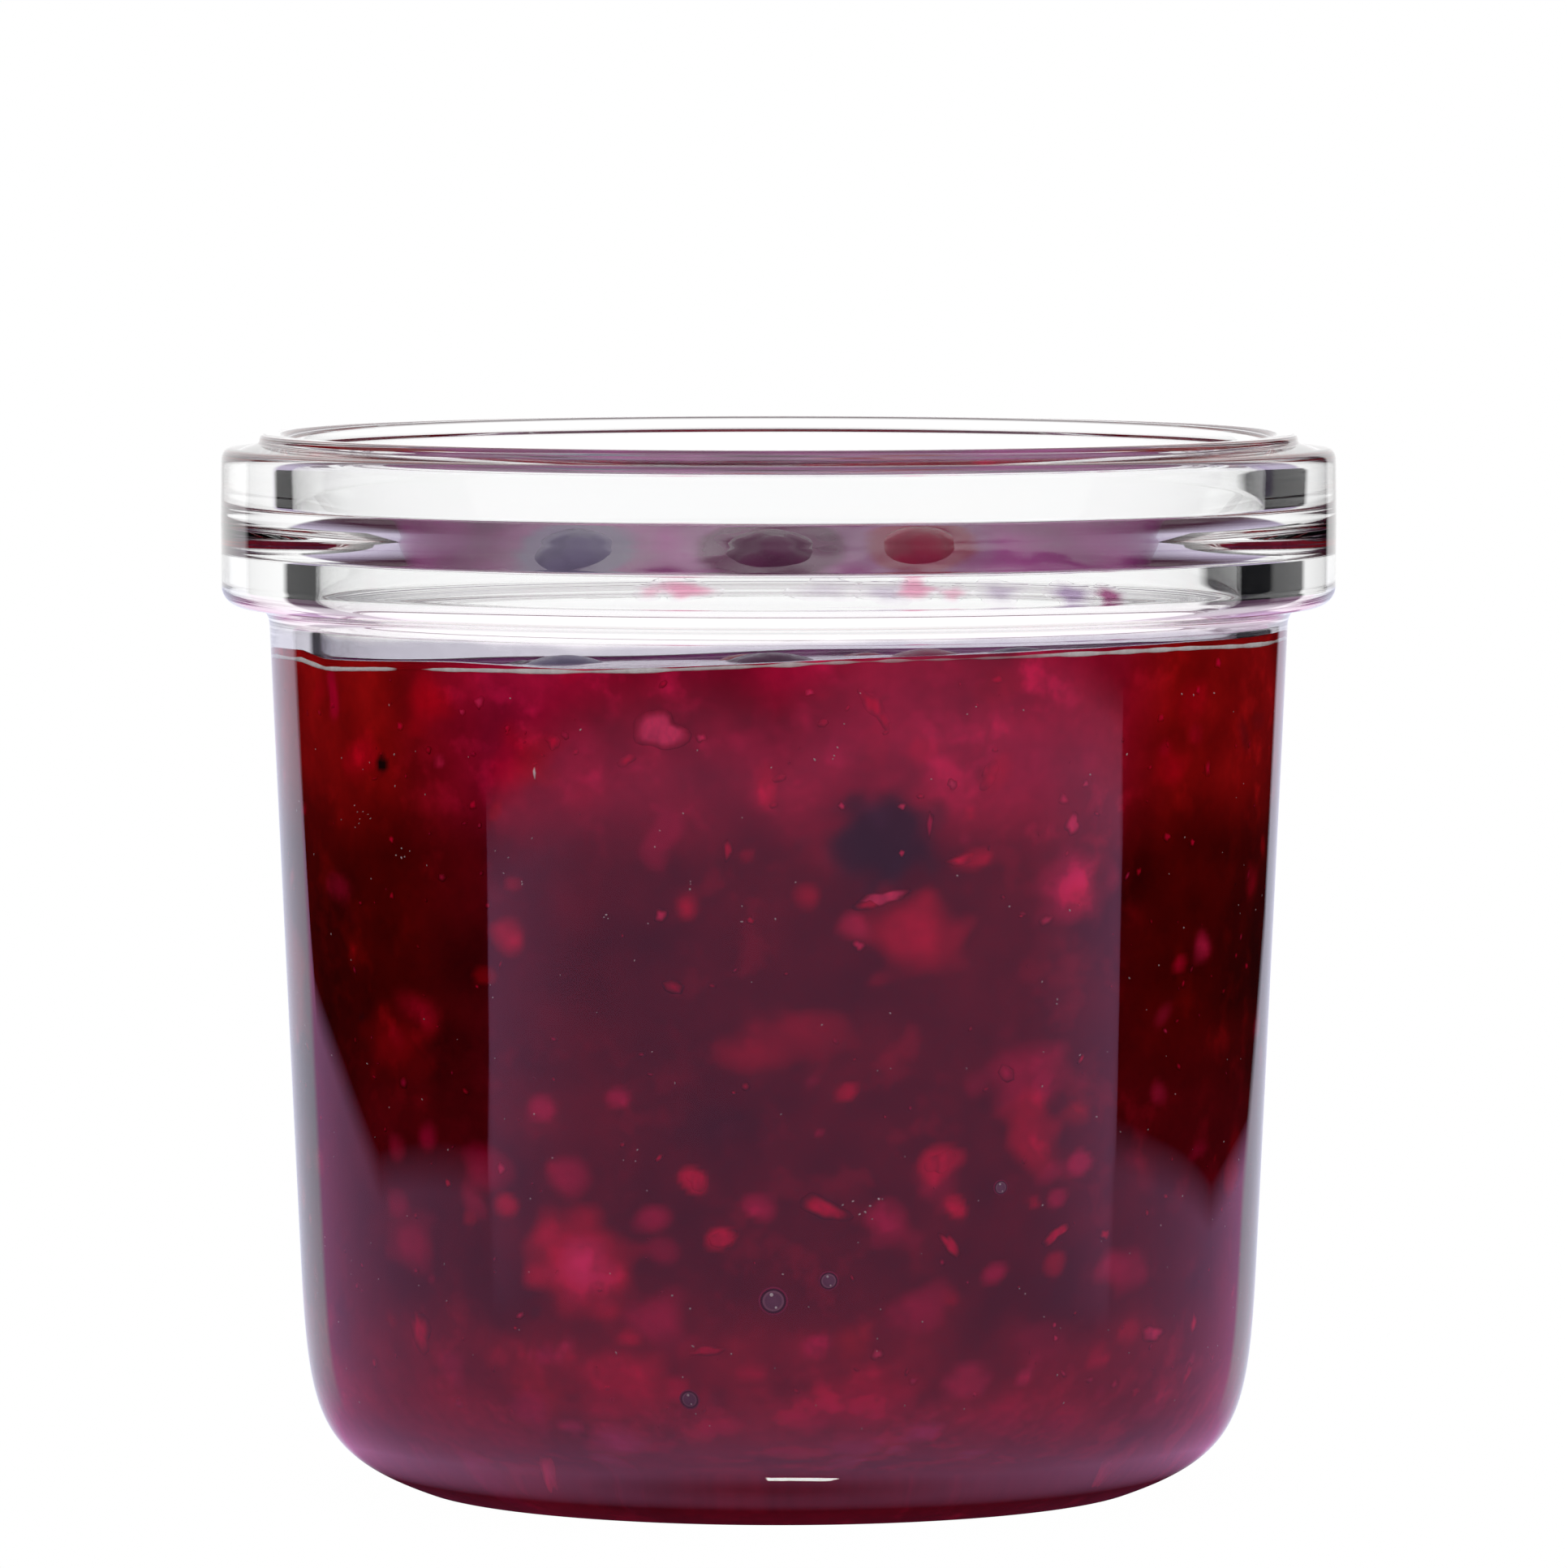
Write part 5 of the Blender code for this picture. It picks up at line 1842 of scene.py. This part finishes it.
    def world(self) -> None:
        """The light round the jar.

        The camera sees plain white. Light that jam and berries scatter comes from a soft dome. What the
        glass reflects and bends is a studio: a white sheet behind, dark sides, a soft box overhead and
        a lilac table in front.
        """
        world = bpy.data.worlds.new("studio")
        bpy.context.scene.world = world
        world.use_nodes = True
        world.node_tree.nodes.clear()
        bench = Bench(world.node_tree)
        path = bench.node("ShaderNodeLightPath").outputs
        bent = bench.maths("GREATER_THAN", path["Transmission Depth"], 0.5)
        place = bench.node("ShaderNodeTexCoord").outputs["Generated"]
        parts = bench.node("ShaderNodeSeparateXYZ")
        bench.put(parts.inputs[0], place)
        x, y, z = parts.outputs
        degrees = 180 / math.pi
        behind = bench.maths("MULTIPLY", y, -1.0)
        azimuth = bench.maths("MULTIPLY", bench.maths("ARCTAN2", x, behind), degrees)
        elevation = bench.maths("MULTIPLY", bench.maths("ARCSINE", z), degrees)
        across = bench.maths("DIVIDE", bench.maths("ADD", azimuth, 180.0), 360.0)
        up = bench.maths("DIVIDE", bench.maths("ADD", elevation, 90.0), 180.0)
        front = bench.ramp(across, self.by_azimuth(self.front_stops))
        edge = bench.ramp(across, self.by_azimuth(self.edge_stops))
        edge = bench.maths("MULTIPLY", edge, -self.edge_scale)
        depth = bench.maths("SUBTRACT", edge, elevation)
        table = TableLight().colour(bench, elevation)
        strips = bench.ramp(across, self.by_azimuth(self.strips))
        strips = bench.mixed(bench.between(elevation, *self.strips_foot), (1.0,) * 4, strips)
        table = bench.mixed(1.0, table, strips, "MULTIPLY")
        onset = bench.between(depth, 0.0, self.onset_span)
        onset = bench.maths("MULTIPLY_ADD", onset, 1 - self.onset_start, self.onset_start)
        onset = bench.mixed(front, (1.0, 1.0, 1.0, 1.0), onset)
        table = bench.mixed(1.0, table, onset, "MULTIPLY")
        table = bench.mixed(bent, table, bench.ramp(up, self.by_elevation(self.bent_table)))
        upper = bench.mixed(front, (*self.flag, 1.0), (*self.room, 1.0))
        open_sky = bench.between(elevation, self.flag_top, self.flag_top + 4.0)
        upper = bench.mixed(open_sky, upper, (*self.sky, 1.0))
        seen = bench.mixed(bench.between(depth, 0.0, self.edge_blur), upper, table)
        lowered = bench.between(elevation, *self.sheet_slant_span)
        lowered = bench.maths("MULTIPLY", bench.maths("SUBTRACT", 1.0, lowered), self.sheet_slant)
        aside = bench.maths("SUBTRACT", azimuth, bench.maths("MULTIPLY", bent, self.sheet_shift))
        right = bench.between(bench.maths("ADD", aside, lowered), *self.sheet_right)
        left = bench.between(aside, self.sheet_left[1], self.sheet_left[0])
        sheet = bench.maths("MAXIMUM", left, right)
        through = bench.between(elevation, *self.sheet_foot)
        off = bench.between(elevation, *self.mirrored_foot)
        foot = bench.maths("ADD", bench.maths("MULTIPLY", bent, bench.maths("SUBTRACT", through, off)), off)
        sheet = bench.maths("MULTIPLY", sheet, foot)
        plain = bench.maths("MAXIMUM", bent, bench.between(elevation, *self.lilac_below))
        backdrop = bench.mixed(plain, (*self.mirrored_backdrop, 1.0), (*self.backdrop, 1.0))
        seen = bench.mixed(sheet, seen, backdrop)
        low, high = self.glint_heights
        glint = bench.maths("COMPARE", elevation, (low + high) / 2, (high - low) / 2)
        near, far = self.glint_azimuths
        wide = bench.maths("COMPARE", azimuth, (near + far) / 2, (far - near) / 2)
        glint = bench.maths("MULTIPLY", glint, wide)
        glint = bench.maths("MULTIPLY", glint, bench.maths("SUBTRACT", 1.0, bent))
        seen = bench.mixed(glint, seen, (*(self.glint,) * 3, 1.0))
        above = bench.maths("GREATER_THAN", elevation, self.overhead_from)
        seen = bench.mixed(above, seen, (*(self.overhead,) * 3, 1.0))
        scattered = bench.maths("GREATER_THAN", path["Diffuse Depth"], 0.5)
        soft = bench.maths("ADD", self.soft_level, bench.maths("MULTIPLY", z, 1 - self.soft_level))
        soft = bench.maths("MULTIPLY", soft, self.soft_light)
        dome = bench.node("ShaderNodeCombineXYZ")
        for socket in dome.inputs:
            bench.put(socket, soft)
        seen = bench.mixed(scattered, seen, dome.outputs[0])
        seen = bench.mixed(path["Is Camera Ray"], seen, (1.0, 1.0, 1.0, 1.0))
        light = bench.node("ShaderNodeBackground")
        bench.put(light.inputs["Color"], seen)
        out = bench.node("ShaderNodeOutputWorld")
        bench.put(out.inputs["Surface"], light.outputs[0])
        world.cycles.sampling_method = "NONE"

    @staticmethod
    def by_elevation(stops: Stops) -> list[tuple[float, Colour]]:
        """Stops given by elevation in degrees, as a ramp's positions."""
        return [((elevation + 90) / 180, colour) for elevation, colour in stops]

    @staticmethod
    def by_azimuth(stops: tuple[tuple[float, float], ...]) -> list[tuple[float, Colour]]:
        """Stops given by azimuth in degrees, as a ramp's positions and greys."""
        first, last = stops[0][1], stops[-1][1]
        full = ((-180, first), *stops, (180, last))
        return [((azimuth + 180) / 360, (value,) * 3) for azimuth, value in full]

    def build(self) -> None:
        """Builds the stage, picks the plain colour transform and lets light cross all the glass."""
        self.camera()
        self.floor()
        self.foot_shadow()
        self.world()
        scene = bpy.context.scene
        scene.view_settings.view_transform = "Standard"
        scene.cycles.max_bounces = self.light_bounces
        scene.cycles.transmission_bounces = self.light_bounces
        scene.cycles.glossy_bounces = self.glossy_bounces


def report(piece: bpy.types.Object) -> None:
    """Logs a piece's name and how many faces it has."""
    log.info("%s: %d faces", piece.name, len(piece.data.polygons))


def main() -> None:
    """Builds the jar, its jam and the studio."""
    logging.basicConfig(level=logging.INFO, format="%(name)s: %(message)s")
    jar = GlassJar()
    tone = JamTone(jar)
    report(jar.build())
    jam = Jam(jar, tone)
    report(jam.build())
    bits = FruitBits(jar, tone)
    report(bits.build())
    report(BackFilms(bits, jam).build())
    report(ContactLine(jar, jam).build())
    report(Bubbles(tone).build())
    for node, kind in BERRY_KINDS.items():
        report(Berry(node, kind).build())
    Studio().build()


if __name__ == "__main__":
    main()
